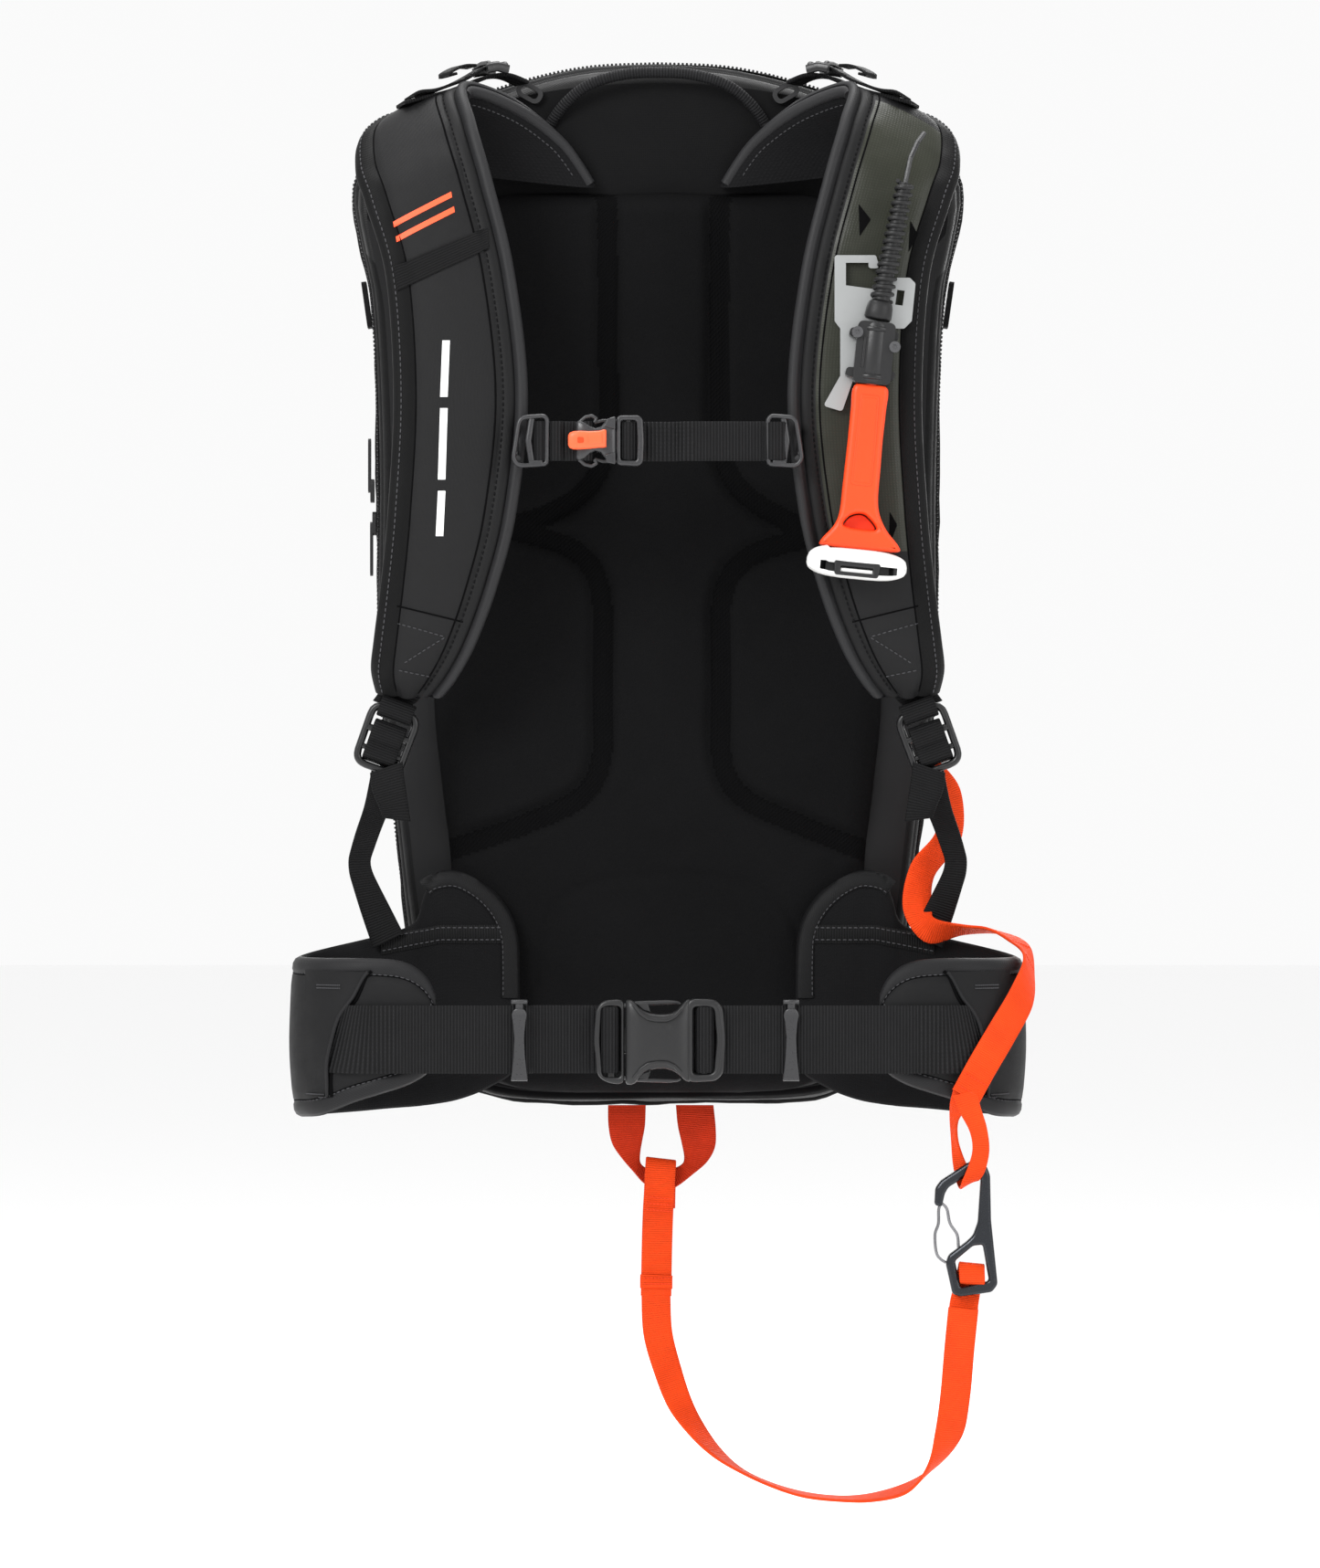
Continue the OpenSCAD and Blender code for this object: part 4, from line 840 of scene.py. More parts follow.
dch = np.min([seg_dist(PX, PZ, c) for c in channels], axis=0)
Hh -= 4.3 * np.clip(edge / 10, 0, 1) * (0.5 + 0.5 * np.cos(np.pi * np.clip((dch - 3.6) / 7.2, 0, 1)))
Hh += 1.6 * np.clip((dch - 9) / 26, 0, 1)
arch = seg_dist(PX, PZ, [[-66, 70], [-62, 98], [-48, 119], [-12, 128], [30, 128], [60, 118], [76, 98], [80, 70]])
Hh -= 0.9 * (0.5 + 0.5 * np.cos(np.pi * np.clip(arch / 5.0, 0, 1)))
Hh += 0.12 * wob(np.stack([PX, PZ * 0, PZ], -1), 0.06, 0.3)
PY = -Hh
PG = np.stack([PX, PY, PZ], -1)[::-1]
DG = dch[::-1]
# faces within 6.2 mm of a groove line take the darker channel cloth: painted shade in the recessed channels, on top of
# their real depth
panel = loft("back_panel_knit", PG, [M["back_mesh"], M["channel"]], closed=False, caps=False,
             mat_of=lambda i, j: 1 if DG[i, j] < 6.2 else 0)
sol = panel.modifiers.new("thick", "SOLIDIFY")
sol.thickness = 0.0012
sol.offset = -1
place(panel, "harness", ["back_panel"])

# ------------------------------------------------------------------ shoulder straps
strap_in = [[-34, -9, 504], [-51, -16, 528], [-76, -30, 546], [-101, -46, 553], [-97, -64, 532],
            [-88, -74, 500], [-76, -78, 450], [-69, -78, 385], [-75, -77, 324], [-85, -73, 285],
            [-96, -66, 256], [-106, -58, 238], [-115, -50, 227]]
strap_out = [[-108, -9, 512], [-122, -16, 531], [-143, -30, 538], [-160, -46, 524], [-162, -62, 506],
             [-156, -73, 487], [-145, -78, 448], [-141, -78, 385], [-144, -77, 324], [-148, -73, 285],
             [-152, -66, 256], [-154, -58, 240], [-152, -50, 228]]
K = 10
SI0, SO0 = smooth(strap_in, K), smooth(strap_out, K)


class Pad:
    """padded band between two edges, with a given cross section"""

    def __init__(self, A, B, sign, front, back, wear=0.0):
        self.A, self.B = np.asarray(A, float), np.asarray(B, float)
        self.mid = (self.A + self.B) / 2
        self.t = tang(self.mid)
        self.w = unit(self.B - self.A)
        self.n = sign * unit(np.cross(self.t, self.w))
        self.L = np.linalg.norm(self.B - self.A, axis=1)
        self.s = np.r_[0, np.cumsum(np.linalg.norm(np.diff(self.mid, axis=0), axis=1))]
        self.front, self.back = front, back

    def rings(self):
        out = []
        for i in range(len(self.A)):
            fr = self.front(self.L[i], self.s[i], i)
            bk = self.back(self.L[i], self.s[i], i)
            out.append([self.A[i] + self.w[i] * x + self.n[i] * h for x, h in list(fr) + list(bk)[::-1]])
        return np.array(out)


def strap_front(w, s, i):
    """x from the inner edge, h outwards"""
    c = 0.5 + 0.5 * math.cos(0)
    g = []
    # piping roll on the inner edge
    for a_ in np.linspace(180, 20, 8):
        g.append((3.1 + 3.1 * math.cos(math.radians(a_)), 2.2 + 3.1 * math.sin(math.radians(a_))))
    g += [(6.9, 2.6), (7.8, 3.9), (9.5, 4.6), (11.6, 4.7), (13.2, 4.3), (14.0, 3.9)]
    x0, x1 = 15.0, w - 13.5
    for q in np.linspace(0, 1, 11):
        crown = 4.6 + 2.0 * math.sin(math.pi * q) ** 0.6
        g.append((x0 + (x1 - x0) * q, crown))
    g += [(w - 12.4, 3.9), (w - 11.2, 4.4), (w - 8, 4.6), (w - 4.5, 4.2), (w - 2, 3.0), (w - 0.5, 1.4), (w, -0.2)]
    return g


def strap_back(w, s, i):
    g = [(0.4, -1.0), (2.0, -3.4), (5.0, -4.8), (9, -5.8)]
    for q in np.linspace(0, 1, 8):
        g.append((14 + (w - 28) * q, -6.2 - 0.7 * math.sin(math.pi * q)))
    g += [(w - 8, -5.6), (w - 4, -4.4), (w - 1.5, -2.4)]
    return g


NF = len(strap_front(70, 0, 0))
NB = len(strap_back(70, 0, 0))
strap_L = Pad(SI0, SO0, -1, strap_front, strap_back)


def mirror(V):
    V = np.array(V, float)
    V[..., 0] *= -1
    return V


def strap_mat(patch):
    z = strap_L.mid[:, 2]
    y = strap_L.mid[:, 1]
    top = int(np.argmax(z))

    def f(i, j):
        if j < 8:
            return 1                     # piping
        if i < top + 2 and 14 <= j < NF:
            return 6                     # root, darker cloth
        if j < 14:
            return 5                     # inner band
        if j < 25:
            if patch and y[i] < -50 and i > top + 2 and z[i] > 306:
                return 4
            return 0                     # centre panel
        if j < NF:
            return 2
        return 3
    return f


Lr = strap_L.rings()
front_c = (np.abs(wob(Lr, 0.045, 0.7))[..., None] * 0.5)
# lengthwise puckers beside the seams, from 60 mm along the strap on, added with the soft wobble over the front
pk = np.zeros((len(SI0), NF + NB))
for j_ in range(NF):
    pk[:, j_] = 0.35 * np.sin(strap_L.s / 3.3 + 0.7 * np.sin(strap_L.s / 17)) * math.exp(-min(abs(j_ - 14), abs(j_ - 26)) / 1.6)
pk *= (strap_L.s > 60)[:, None]
Lr = Lr + strap_L.n[:, None, :] * (front_c * (np.arange(NF + NB) < NF)[None, :, None] + pk[..., None])
smats = [M["strap_cloth"], M["piping"], M["strap_edge"], M["strap_back"], M["patch"], M["strap_band"], M["root_cloth"]]
left_strap = loft("left_shoulder_pad", Lr, smats, mat_of=strap_mat(False), sharp=80)
place(left_strap, "harness", ["shoulder_strap_left"])
Rr = mirror(Lr)
right_strap = loft("right_shoulder_pad", Rr, smats, mat_of=strap_mat(True), sharp=80)
place(right_strap, "harness", ["shoulder_strap_right"])
BL, BR = bvh_of(left_strap), bvh_of(right_strap)


def hit(bvh, x, z, y0=-200.0, direction=(0, 1, 0)):
    o = Vector(R((x, y0, z)))
    loc, nrm, _, _ = bvh.ray_cast(o, Vector(direction))
    if loc is None:
        return None, None
    p = np.array(loc) * 1000 + H0
    n = np.array(nrm)
    if n[1] > 0:
        n = -n
    return p, n


def on_surface(bvh, pts, lift=0.0, y0=-200.0):
    P, Q = [], []
    for x, z in pts:
        p, n = hit(bvh, x, z, y0)
        if p is None:
            continue
        P.append(p + n * lift)
        Q.append(n)
    return np.array(P), np.array(Q)


def decal(name, bvh, quad, mat, nu=12, nv=6, lift=0.5, th=0.8, y0=-200.0):
    """thin patch laid on a surface; quad: four (x, z) corners"""
    q = np.array(quad, float)
    G, Nn = np.zeros((nv + 1, nu + 1, 3)), np.zeros((nv + 1, nu + 1, 3))
    last = None
    for i in range(nv + 1):
        for j in range(nu + 1):
            a, b = i / nv, j / nu
            xz = (q[0] * (1 - a) + q[3] * a) * (1 - b) + (q[1] * (1 - a) + q[2] * a) * b
            p, n = hit(bvh, xz[0], xz[1], y0)
            if p is None:
                p, n = last
            last = (p, n)
            G[i, j], Nn[i, j] = p + n * lift, n
    top = G
    bot = G - Nn * th
    rings = [np.vstack([top[i], bot[i][::-1]]) for i in range(nv + 1)]
    return loft(name, rings, mat, sharp=50)


def pad_line(pad, x_of, i0, i1, rings, j=None, flip=False):
    """line on a Pad's front at column j of its rings"""
    P = rings[i0:i1, j]
    Q = pad.n[i0:i1]
    return P, Q


# stitch rows that run down both straps
parts_l, parts_r = [], []
nI = len(SI0)
for j, mt in ((12, "thread_dark"), (28, "thread")):
    P, Q = Lr[4:nI - 3, j], strap_L.n[4:nI - 3]
    parts_l.append(stitches("s", P, Q, M[mt], 3.2, 2.2, 0.38))
    parts_r.append(stitches("s", mirror(P), mirror(Q), M[mt], 3.2, 2.2, 0.38))
for j in (14, 25):
    P = (Lr[4:nI - 3, j] + Lr[4:nI - 3, j + 1]) / 2 if j == 14 else (Lr[4:nI - 3, j] + Lr[4:nI - 3, j - 1] * 0.0 + Lr[4:nI - 3, j]) / 2
    parts_l.append(tube("sm", P + strap_L.n[4:nI - 3] * 0.05, 0.5, M["seam"], 6))
    parts_r.append(tube("sm", mirror(P + strap_L.n[4:nI - 3] * 0.05), 0.5, M["seam"], 6))

# piping and stitches on the wearer's side of the strap roots, up and over the shoulder
rp_ = SI0[1:33] + strap_L.w[1:33] * 2.4 - strap_L.n[1:33] * 1.2
sp_ = SI0[3:32] + strap_L.w[3:32] * 8.4 - strap_L.n[3:32] * 5.7
for nm_, f_ in (("left", lambda v: v), ("right", mirror)):
    o_ = join(nm_ + "_root_piping", [tube("rp", f_(rp_), 3.3, M["piping"], 12), stitches("s", f_(sp_), f_(-strap_L.n[3:32]), M["thread"], 3.0, 2.0, 0.34)])
    place(o_, "harness")

# cross band of ribbed webbing and the plain marks on the left strap
cross = decal("cross_band", BL, [(-140.5, 453.5), (-90.5, 474.5), (-90, 463), (-138.5, 440.5)], M["webbing_fine"], 24, 6, 0.9, 1.2)
place(cross, "harness")
for k, (za, zb) in enumerate([(414, 384), (378, 340), (334, 310)]):
    mk_ = decal("mark_bar_%d" % k, BL, [(-114.5 - k * 1.2, za), (-110.5 - k * 1.2, za), (-111.7 - k * 1.2, zb), (-115.7 - k * 1.2, zb)], M["mark_white"], 4, 14, 0.25, 0.5)
    place(mk_, "harness")
for k, (x0, z0) in enumerate([(-141, 476), (-139.5, 468)]):
    mk_ = decal("mark_dash_%d" % k, BL, [(x0, z0 + 1.6), (x0 + 31, z0 + 17.6), (x0 + 31.5, z0 + 14.6), (x0 + 0.5, z0 - 1.4)], M["mark_orange"], 14, 3, 0.25, 0.5)
    place(mk_, "harness")


def seam_line(name, bvh, pts, r=0.45, n=40, y0=-200.0):
    L = resample(smooth(pts, 8) if len(pts) > 2 else np.array(pts, float), n=n)
    P, Q = on_surface(bvh, L, 0.05, y0)
    return tube(name, P, r, M["seam"], 6), P, Q


def stitch_line(name, bvh, pts, mat, pitch=3.0, n=60, y0=-200.0, curve=True):
    L = resample(smooth(pts, 8) if (len(pts) > 2 and curve) else np.array(pts, float), n=n)
    P, Q = on_surface(bvh, L, 0.0, y0)
    return stitches(name, P, Q, mat, pitch, pitch * 0.68, 0.34)


# lower reinforcement: seam and bar-tack zig-zag
for m, bv, lst in ((1, BL, parts_l), (-1, BR, parts_r)):
    s1, _, _ = seam_line("seam", bv, [(m * -139, 273), (m * -104, 264.5)])
    lst.append(s1)
    lst.append(stitch_line("z1", bv, [(m * -139.5, 264), (m * -113, 256.5)], M["thread"]))
    lst.append(stitch_line("z2", bv, [(m * -113.5, 256.5), (m * -136, 242.5)], M["thread"]))
    lst.append(stitch_line("z3", bv, [(m * -139, 239), (m * -122, 235.5)], M["thread"]))
dl = join("left_strap_stitching", parts_l)
place(dl, "harness")
dr = join("right_strap_stitching", parts_r)
place(dr, "harness")

# ------------------------------------------------------------------ haul loop
lp = [[-62, -3.2, 532], [-58, -5, 540], [-49, -9, 551], [-36, -12, 560], [-18, -12, 565]]
lp = lp + [[0, -12, 566]] + [[-p[0], p[1], p[2]] for p in lp[::-1]]
haul = tube("haul_loop_web", smooth(lp, 8), 3.0, M["rolled_web"], 16)
place(haul, "harness", ["haul_loop"])

# ------------------------------------------------------------------ hip belt
wing_st = [[-75, -22, 34, 84], [-76, -22, 27, 96], [-80, -22, 20, 108], [-88, -22, 15, 119], [-98, -22, 10, 126],
           [-110, -21, 6, 131], [-121, -20.5, 4, 129], [-127, -20, 3.2, 117], [-132, -19.5, 2.6, 103], [-146, -18.5, 1.5, 97],
           [-162, -18.5, 0, 93], [-180, -26, -1, 89], [-191, -46, -1, 86], [-190, -68, 0, 85.5], [-178, -86, 2, 85.5],
           [-161, -95, 9, 85.7], [-147, -97.5, 13.5, 85.5], [-136, -98, 17, 84.3], [-128, -98, 20.5, 81], [-121.5, -98, 25, 75],
           [-117.5, -98, 31, 67]]
WS = smooth(wing_st, 6)
WBm, WTm = WS[:, :3], np.stack([WS[:, 0], WS[:, 1], WS[:, 3]], 1)


def wing_front(w, s, i):
    g = [(0.3, 0.6), (1.4, 2.5), (3.6, 3.7), (6.6, 4.0), (8.2, 3.4), (8.9, 2.9)]
    for q in np.linspace(0, 1, 13):
        g.append((9.8 + (w - 19.6) * q, 3.9 + 1.8 * math.sin(math.pi * q) ** 0.6))
    g += [(w - 8.9, 2.9), (w - 8.2, 3.4), (w - 6.6, 4.0), (w - 3.6, 3.7), (w - 1.4, 2.5), (w - 0.3, 0.6)]
    return g


def wing_back(w, s, i):
    g = [(0, -0.6), (1.4, -2.6), (4.5, -3.8), (8, -4.4)]
    for q in np.linspace(0, 1, 10):
        g.append((11 + (w - 22) * q, -4.6 - 1.2 * math.sin(math.pi * q) ** 0.7))
    g += [(w - 8, -4.4), (w - 4.5, -3.8), (w - 1.4, -2.6), (w, -0.6)]
    return g


NWF, NWB = len(wing_front(70, 0, 0)), len(wing_back(70, 0, 0))
wing_pad = Pad(WBm, WTm, 1, wing_front, wing_back)
Wr = wing_pad.rings()
fr = (np.arange(NWF + NWB) < NWF)[None, :]
ws_ = wing_pad.s
wk = wob(Wr, 0.07, 1.9) * 0.6
# soft folds across the arm where it bends round the hip, and puckers along the binding
wk += 0.9 * np.sin(ws_ / 9.0)[:, None] * np.exp(-((ws_ - 95) / 38) ** 2)[:, None] * fr
for j_ in range(NWF):
    wk[:, j_] += 0.3 * np.sin(ws_ / 2.6 + np.sin(ws_ / 13)) * math.exp(-min(abs(j_ - 5), abs(j_ - (NWF - 6))) / 1.5)
Wr = Wr + wing_pad.n[:, None, :] * wk[..., None]
I_ARM = 8 * 6        # first ring of the arm beyond the root panel
I_TIP = 11 * 6


def wing_mat(i, j):
    edge_ = j < 5 or NWF - 6 <= j < NWF
    if j >= NWF:
        return 2
    if i < I_TIP:
        return 4 if edge_ else 3
    return 1 if edge_ else 0


def wing_line(i0, i1, j0, j1=None, lift=0.0):
    """line over the left wing: ring i0..i1, column j (may drift to j1)"""
    n_ = abs(i1 - i0) + 1
    idx = np.linspace(i0, i1, n_).astype(int)
    js = np.linspace(j0, j0 if j1 is None else j1, n_)
    P = []
    for i_, j_ in zip(idx, js):
        a_, f_ = int(j_), j_ - int(j_)
        P.append(Wr[i_, a_] * (1 - f_) + Wr[i_, min(a_ + 1, NWF - 1)] * f_)
    return np.array(P) + wing_pad.n[idx] * lift, wing_pad.n[idx]


WB_ = None
for side, f in (("left", lambda v: v), ("right", mirror)):
    ob = loft(side + "_hip_pad", f(Wr), [M["wing_cloth"], M["binding"], M["wing_in"], M["wing_root"], M["root_binding"]], mat_of=wing_mat, sharp=80)
    place(ob, "harness", ["hip_wing_" + side])
    bv = bvh_of(ob)
    sg = -1 if side == "left" else 1
    bits = []
    nW = len(WS)
    for j_ in (4.4, NWF - 5.4):
        P, Q = wing_line(4, nW - 3, j_)
        bits.append(stitches("s", f(P), f(Q), M["thread"], 3.0, 2.1, 0.34))
    # closing edge of the root and of the tip
    for i_, mt in ((5, "thread_dark"), (nW - 5, "thread")):
        P = Wr[i_, 5:NWF - 5]
        Q = np.repeat(wing_pad.n[i_][None], len(P), 0)
        bits.append(stitches("s", f(P), f(Q), M[mt], 3.0, 2.1, 0.34))
    # dark seam beside the bindings
    for j_ in (5.2, NWF - 6.2):
        P, Q = wing_line(2, nW - 2, j_, lift=0.05)
        bits.append(tube("sm", f(P), 0.45, M["seam"], 6))
    st = join(side + "_hip_stitching", bits)
    place(st, "harness")
    # wide binding round the root pad's inner edge, with its stitching
    arc = resample(smooth([[-126.5, 121.5], [-121, 125], [-110, 126.2], [-99.5, 121.6], [-91, 114.5], [-84.6, 105.5], [-81, 95], [-80.2, 82], [-80.2, 62]], 8), n=60)
    ta_ = np.gradient(arc, axis=0)
    na_ = np.stack([-ta_[:, 1], ta_[:, 0]], 1)
    na_ /= np.linalg.norm(na_, axis=1, keepdims=True)
    ringsb, sP, sQ = [], [], []
    last = (np.array([0.0, -26.0, 0]), np.array([0, -1.0, 0]))
    for q in range(60):
        up_, dn_ = [], []
        for off_, lf_ in ((-4.6, 0.1), (-3.6, 0.8), (-1.5, 1.15), (1.5, 1.15), (3.6, 0.8), (4.6, 0.1)):
            x, z_ = arc[q] + na_[q] * off_
            p, n = hit(bv, x if sg < 0 else -x, z_, -60.0)
            if p is None or p[1] > -16:
                p, n = np.array([x if sg < 0 else -x, -24.6, z_]), np.array([0, -1.0, 0])
            n = unit(np.array([n[0] * 0.3, -1.0, n[2] * 0.3]))
            up_.append(p + n * (lf_ + 0.2 + 0.1 * math.sin(q * 1.7 + off_)))
            dn_.append(p + n * -0.6)
            if off_ == -3.6:
                sP.append(p + n * (lf_ + 0.2))
                sQ.append(n)
        ringsb.append(up_ + dn_[::-1])
    rb = loft(side + "_root_binding", np.array(ringsb), M["root_binding"], sharp=60)
    place(rb, "harness")
    rbs = stitches(side + "_root_binding_thread", np.array(sP), np.array(sQ), M["thread"], 2.8, 1.9, 0.3)
    place(rbs, "harness")
    # sewn webbing strip across the root panel
    xs = np.linspace(-85, -150, 26)
    G = []
    for zz_ in (91.5, 93.5, 97.0, 100.0, 101.5):
        row = []
        for x in xs:
            zq = zz_ - max(0, (-x - 118)) * 0.20
            p, n = hit(bv, x if sg < 0 else -x, zq, -60.0)
            if p is None or p[1] > -8:
                p, n = np.array([x if sg < 0 else -x, -24.0, zq]), np.array([0, -1.0, 0])
            row.append((p, n))
        G.append(row)
    top_ = np.array([[c[0] + c[1] * (1.3 if 0 < k < 4 else 0.5) for c in r] for k, r in enumerate(G)])
    bot_ = np.array([[c[0] - c[1] * 0.4 for c in r] for r in G])
    rings = [np.vstack([top_[:, q], bot_[::-1, q]]) for q in range(len(xs))]
    strip = loft(side + "_root_strip", rings, M["webbing_fine"], sharp=60)
    place(strip, "harness")
    P = top_[2]
    sd = join(side + "_root_stitching", [stitches("s", top_[q], np.repeat([[0, -1.0, 0]], len(xs), 0), M["thread"], 3.0, 2.1, 0.34) for q in (1, 3)])
    place(sd, "harness")
    # cover flap that the belt webbing comes out of
    slit = smooth([[-153, 79], [-156, 75.5], [-161, 64], [-167.5, 55.6], [-171, 44], [-173.5, 33], [-174.6, 22], [-174.5, 12]], 6)
    rows = resample(slit, n=26)
    G, Gn = [], []
    for xs_, z_ in rows:
        r_, n_ = [], []
        last = None
        for q in np.linspace(0, 1, 14):
            x = -187.5 + (xs_ + 187.5) * q
            p, n = hit(bv, x if sg < 0 else -x, z_, -200.0)
            if p is None:
                p, n = last
            last = (p, n)
            inside = 1.0 if 24 < z_ < 62 else 0.35
            lift = (0.25 + 2.5 * inside * q ** 1.6) + (0.6 if q > 0.93 else 0)
            r_.append(p + n * lift)
            n_.append(n)
        G.append(r_)
        Gn.append(n_)
    G, Gn = np.array(G), np.array(Gn)
    # even out the lift along the slit
    for _ in range(3):
        G[1:-1] = (G[:-2] + 2 * G[1:-1] + G[2:]) / 4
    rings = [np.vstack([G[q], (G[q] - Gn[q] * 1.3)[::-1]]) for q in range(len(rows))]
    flap = loft(side + "_hip_cover", rings, M["wing_cloth"], sharp=70)
    place(flap, "harness", ["hip_flap_" + side])
    ed = tube(side + "_cover_edge", G[:, -1] - Gn[:, -1] * 0.5, 1.0, M["binding"], 8)
    place(ed, "harness")
    # dark tube along the wing just past the flap's free edge: painted shade in the gap under the flap
    Pg, _ = on_surface(bv, [((xq + 1.7) if sg < 0 else -(xq + 1.7), zq) for xq, zq in rows], 0.1)
    gap_shade = tube(side + "_cover_gap", Pg, 0.9, M["seam"], 8)
    place(gap_shade, "harness")
    tk = []
    for (xa, xb, zt) in ((-181, -168, 70.5), (-187, -177, 12.5)):
        for dz in (-0.8, 0.8):
            P, Q = on_surface(bvh_of(flap), [((x if sg < 0 else -x), zt + dz) for x in np.linspace(xa, xb, 14)], 0.1)
            if len(P) > 4:
                tk.append(stitches("t", P, Q, M["thread"], 1.1, 0.9, 0.4))
    if tk:
        tk = join(side + "_cover_tacks", tk)
        place(tk, "harness")

# ------------------------------------------------------------------ belt webbing
HZ, HWW = 43.0, 36.0
hip_path = np.array([[-176.5, -93.5, 0], [-171, -98.2, 0], [-164, -102.2, 0], [-154, -104.8, 0], [-138, -106, 0], [-100, -106.1, 0], [-60, -106, 0], [-24, -106, 0]])
hip_path = resample(smooth(hip_path, 8), step=2.0)
for side, f in (("left", lambda v: v), ("right", mirror)):
    off = 0 if side == "left" else 0
    hp = hip_path.copy()
    hp[:, 1] += 0.25 * np.sin(hp[:, 0] / 11.0)
    if side == "left":
        # behind the sliding frame
        hp[:, 1] += 3.4 * (0.5 - 0.5 * np.cos(np.pi * np.clip((hp[:, 0] + 69.2) / 4.6, 0, 1)))
    top_x = np.where(hp[:, 0] < -150, -150 + (hp[:, 0] + 150) * (15.5 / 26.5), hp[:, 0])
    top_y = np.interp(top_x, hp[:, 0], hp[:, 1])
    A = hp + np.array([0, 0, HZ - HWW / 2])
    B = np.stack([top_x, top_y, np.full(len(hp), HZ + HWW / 2)], 1)
    loose = hp[:, 0] < -139
    k_ = int(loose.sum())
    o1 = band("w1", f(A[:k_ + 1]), f(B[:k_ + 1]), 1.5, M["webbing_loose"], nx=10, step=2)
    o2 = band("w2", f(A[k_:]), f(B[k_:]), 1.6, M["webbing"], nx=10, step=2)
    ob = join("hip_web_" + side, [o1, o2])
    place(ob, "harness", ["hip_webbing_" + side])

# ------------------------------------------------------------------ belt buckle
BY = -106.0
# female: body with its waist, and the frame that holds the webbing
fem = loft_x("hb_body", [(-16.9, 20.5, 63.2, -3.8, 3.0), (-16.2, 19.4, 64.2, -5.4, 4.4), (-14, 19.2, 64.2, -6.3, 5.0), (-12, 20.0, 63.0, -6.9, 5.0), (-10, 22.5, 60.6, -7.3, 5.0),
                          (-7, 25.6, 58.6, -7.5, 5.0), (-4, 27.2, 57.4, -7.6, 5.0), (0, 27.9, 56.8, -7.7, 5.0), (4, 27.9, 56.8, -7.7, 5.0), (7.5, 27.0, 57.4, -7.5, 5.0),
                          (10.5, 25.2, 59.2, -7.1, 5.0), (13, 22.8, 62.0, -6.4, 4.8), (15, 21.2, 64.0, -5.6, 4.4), (16.6, 20.8, 64.6, -4.6, 4.0), (17.4, 21.5, 64.0, -3.6, 3.0)],
             M["buckle_plastic"], e=4.5, n=44)
ffr = hoop("hb_frame", rnd([[16.6, 23.0], [31.5, 23.6], [33.9, 43], [31.8, 62.2], [16.6, 62.6]], 5), -0.5, 2.0, 3.6, M["buckle_plastic"], ymap=lambda p: -0.9 * max(0, (p[0] - 20) / 14))
fpl = plate2("hb_rim", [rnd([[15.5, 20.6], [31, 21.4], [35, 26], [36, 43], [34.6, 60], [30.5, 64.4], [15.5, 64.8]], 4.5), rnd([[18.6, 24.6], [29.6, 25.2], [31.2, 43], [29.8, 60.2], [18.6, 60.6]], 2.5)],
             -4.6, 2.8, M["buckle_plastic"], 1.2)
ridges = []
for z0, z1, sg in ((29.2, 33, 1), (55.6, 51.6, -1)):
    ridges.append(bar("hb_ridge", [[-12.8, -7.0, z0 - 6.5 * sg], [-9, -7.9, z0 - 1.6 * sg], [-5, -8.2, z0 + 1.2 * sg], [0, -8.2, z0 + 2.0 * sg], [5, -8.2, z0 + 1.9 * sg], [9, -7.8, z0 + 0.1 * sg], [12.4, -7.0, z0 - 3.6 * sg]],
                      0.9, 0.7, M["buckle_plastic"], step=1))
fbar = bar("hb_bar", [[24.8, -1.2, 22.5], [24.8, -1.2, 63]], 2.2, 1.6, M["black_plastic"])
female = join("hip_buckle_body", [fem, ffr, fpl, fbar] + ridges)
female.location = (0, 0, 0)
# web wraps, with the fold over each bar
wf = web("hb_wrap_f", [[37.5, 1.2, 43], [31, 0.8, 43], [28.6, -3.2, 43], [25.5, -4.6, 43], [22.0, -3.6, 43], [19.8, 1.2, 43]], 35, 1.5, M["webbing"], step=0.8)
# male: frame with its three prongs
mfr = plate2("mb_rim", [rnd([[-17.6, 19.4], [-26, 20.2], [-31.6, 23.6], [-33.9, 43], [-32.6, 59], [-29, 63.8], [-17.6, 64.6]], 4), rnd([[-19.4, 23.2], [-29.2, 23.6], [-30.6, 43], [-29.6, 60.4], [-19.4, 60.8]], 2.5)],
             -4.4, 2.8, M["buckle_plastic"], 1.2)
mbar = bar("mb_bar", [[-24.6, -1.2, 22.5], [-24.6, -1.2, 62.5]], 2.2, 1.6, M["black_plastic"])
prongs = []
for z0, sg in ((63.0, -1), (21.3, 1)):
    prongs.append(bar("mb_prong", [[-18, -1.2, z0 + 2.0 * sg], [-12, -1.2, z0 + 0.9 * sg], [-6, -1.2, z0 + 0.6 * sg], [4, -1.2, z0 + 0.2 * sg], [10.6, -1.2, z0 + 0.3 * sg], [12, -1.2, z0 + 1.2 * sg]],
                      1.3, 2.3, M["grey_plastic"], step=1, scale=[1, 1, 1, 0.95, 0.9, 0.5]))
    prongs.append(plate2("mb_wedge", [rnd([[-12.2, z0 + 0.6 * sg], [-5.2, z0 + 0.6 * sg], [-3.6, z0 + 5.6 * sg], [-7.4, z0 + 4.4 * sg]][::(1 if sg < 0 else -1)], 0.6)], -4.2, 1.6, M["grey_plastic"], 0.5))
tongue = bar("mb_tongue", [[-19, -0.2, 43], [-2, -0.2, 43]], 7.5, 2.0, M["buckle_plastic"], up=(0, 1, 0))
male = join("hip_buckle_prongs", [mfr, mbar, tongue] + prongs)
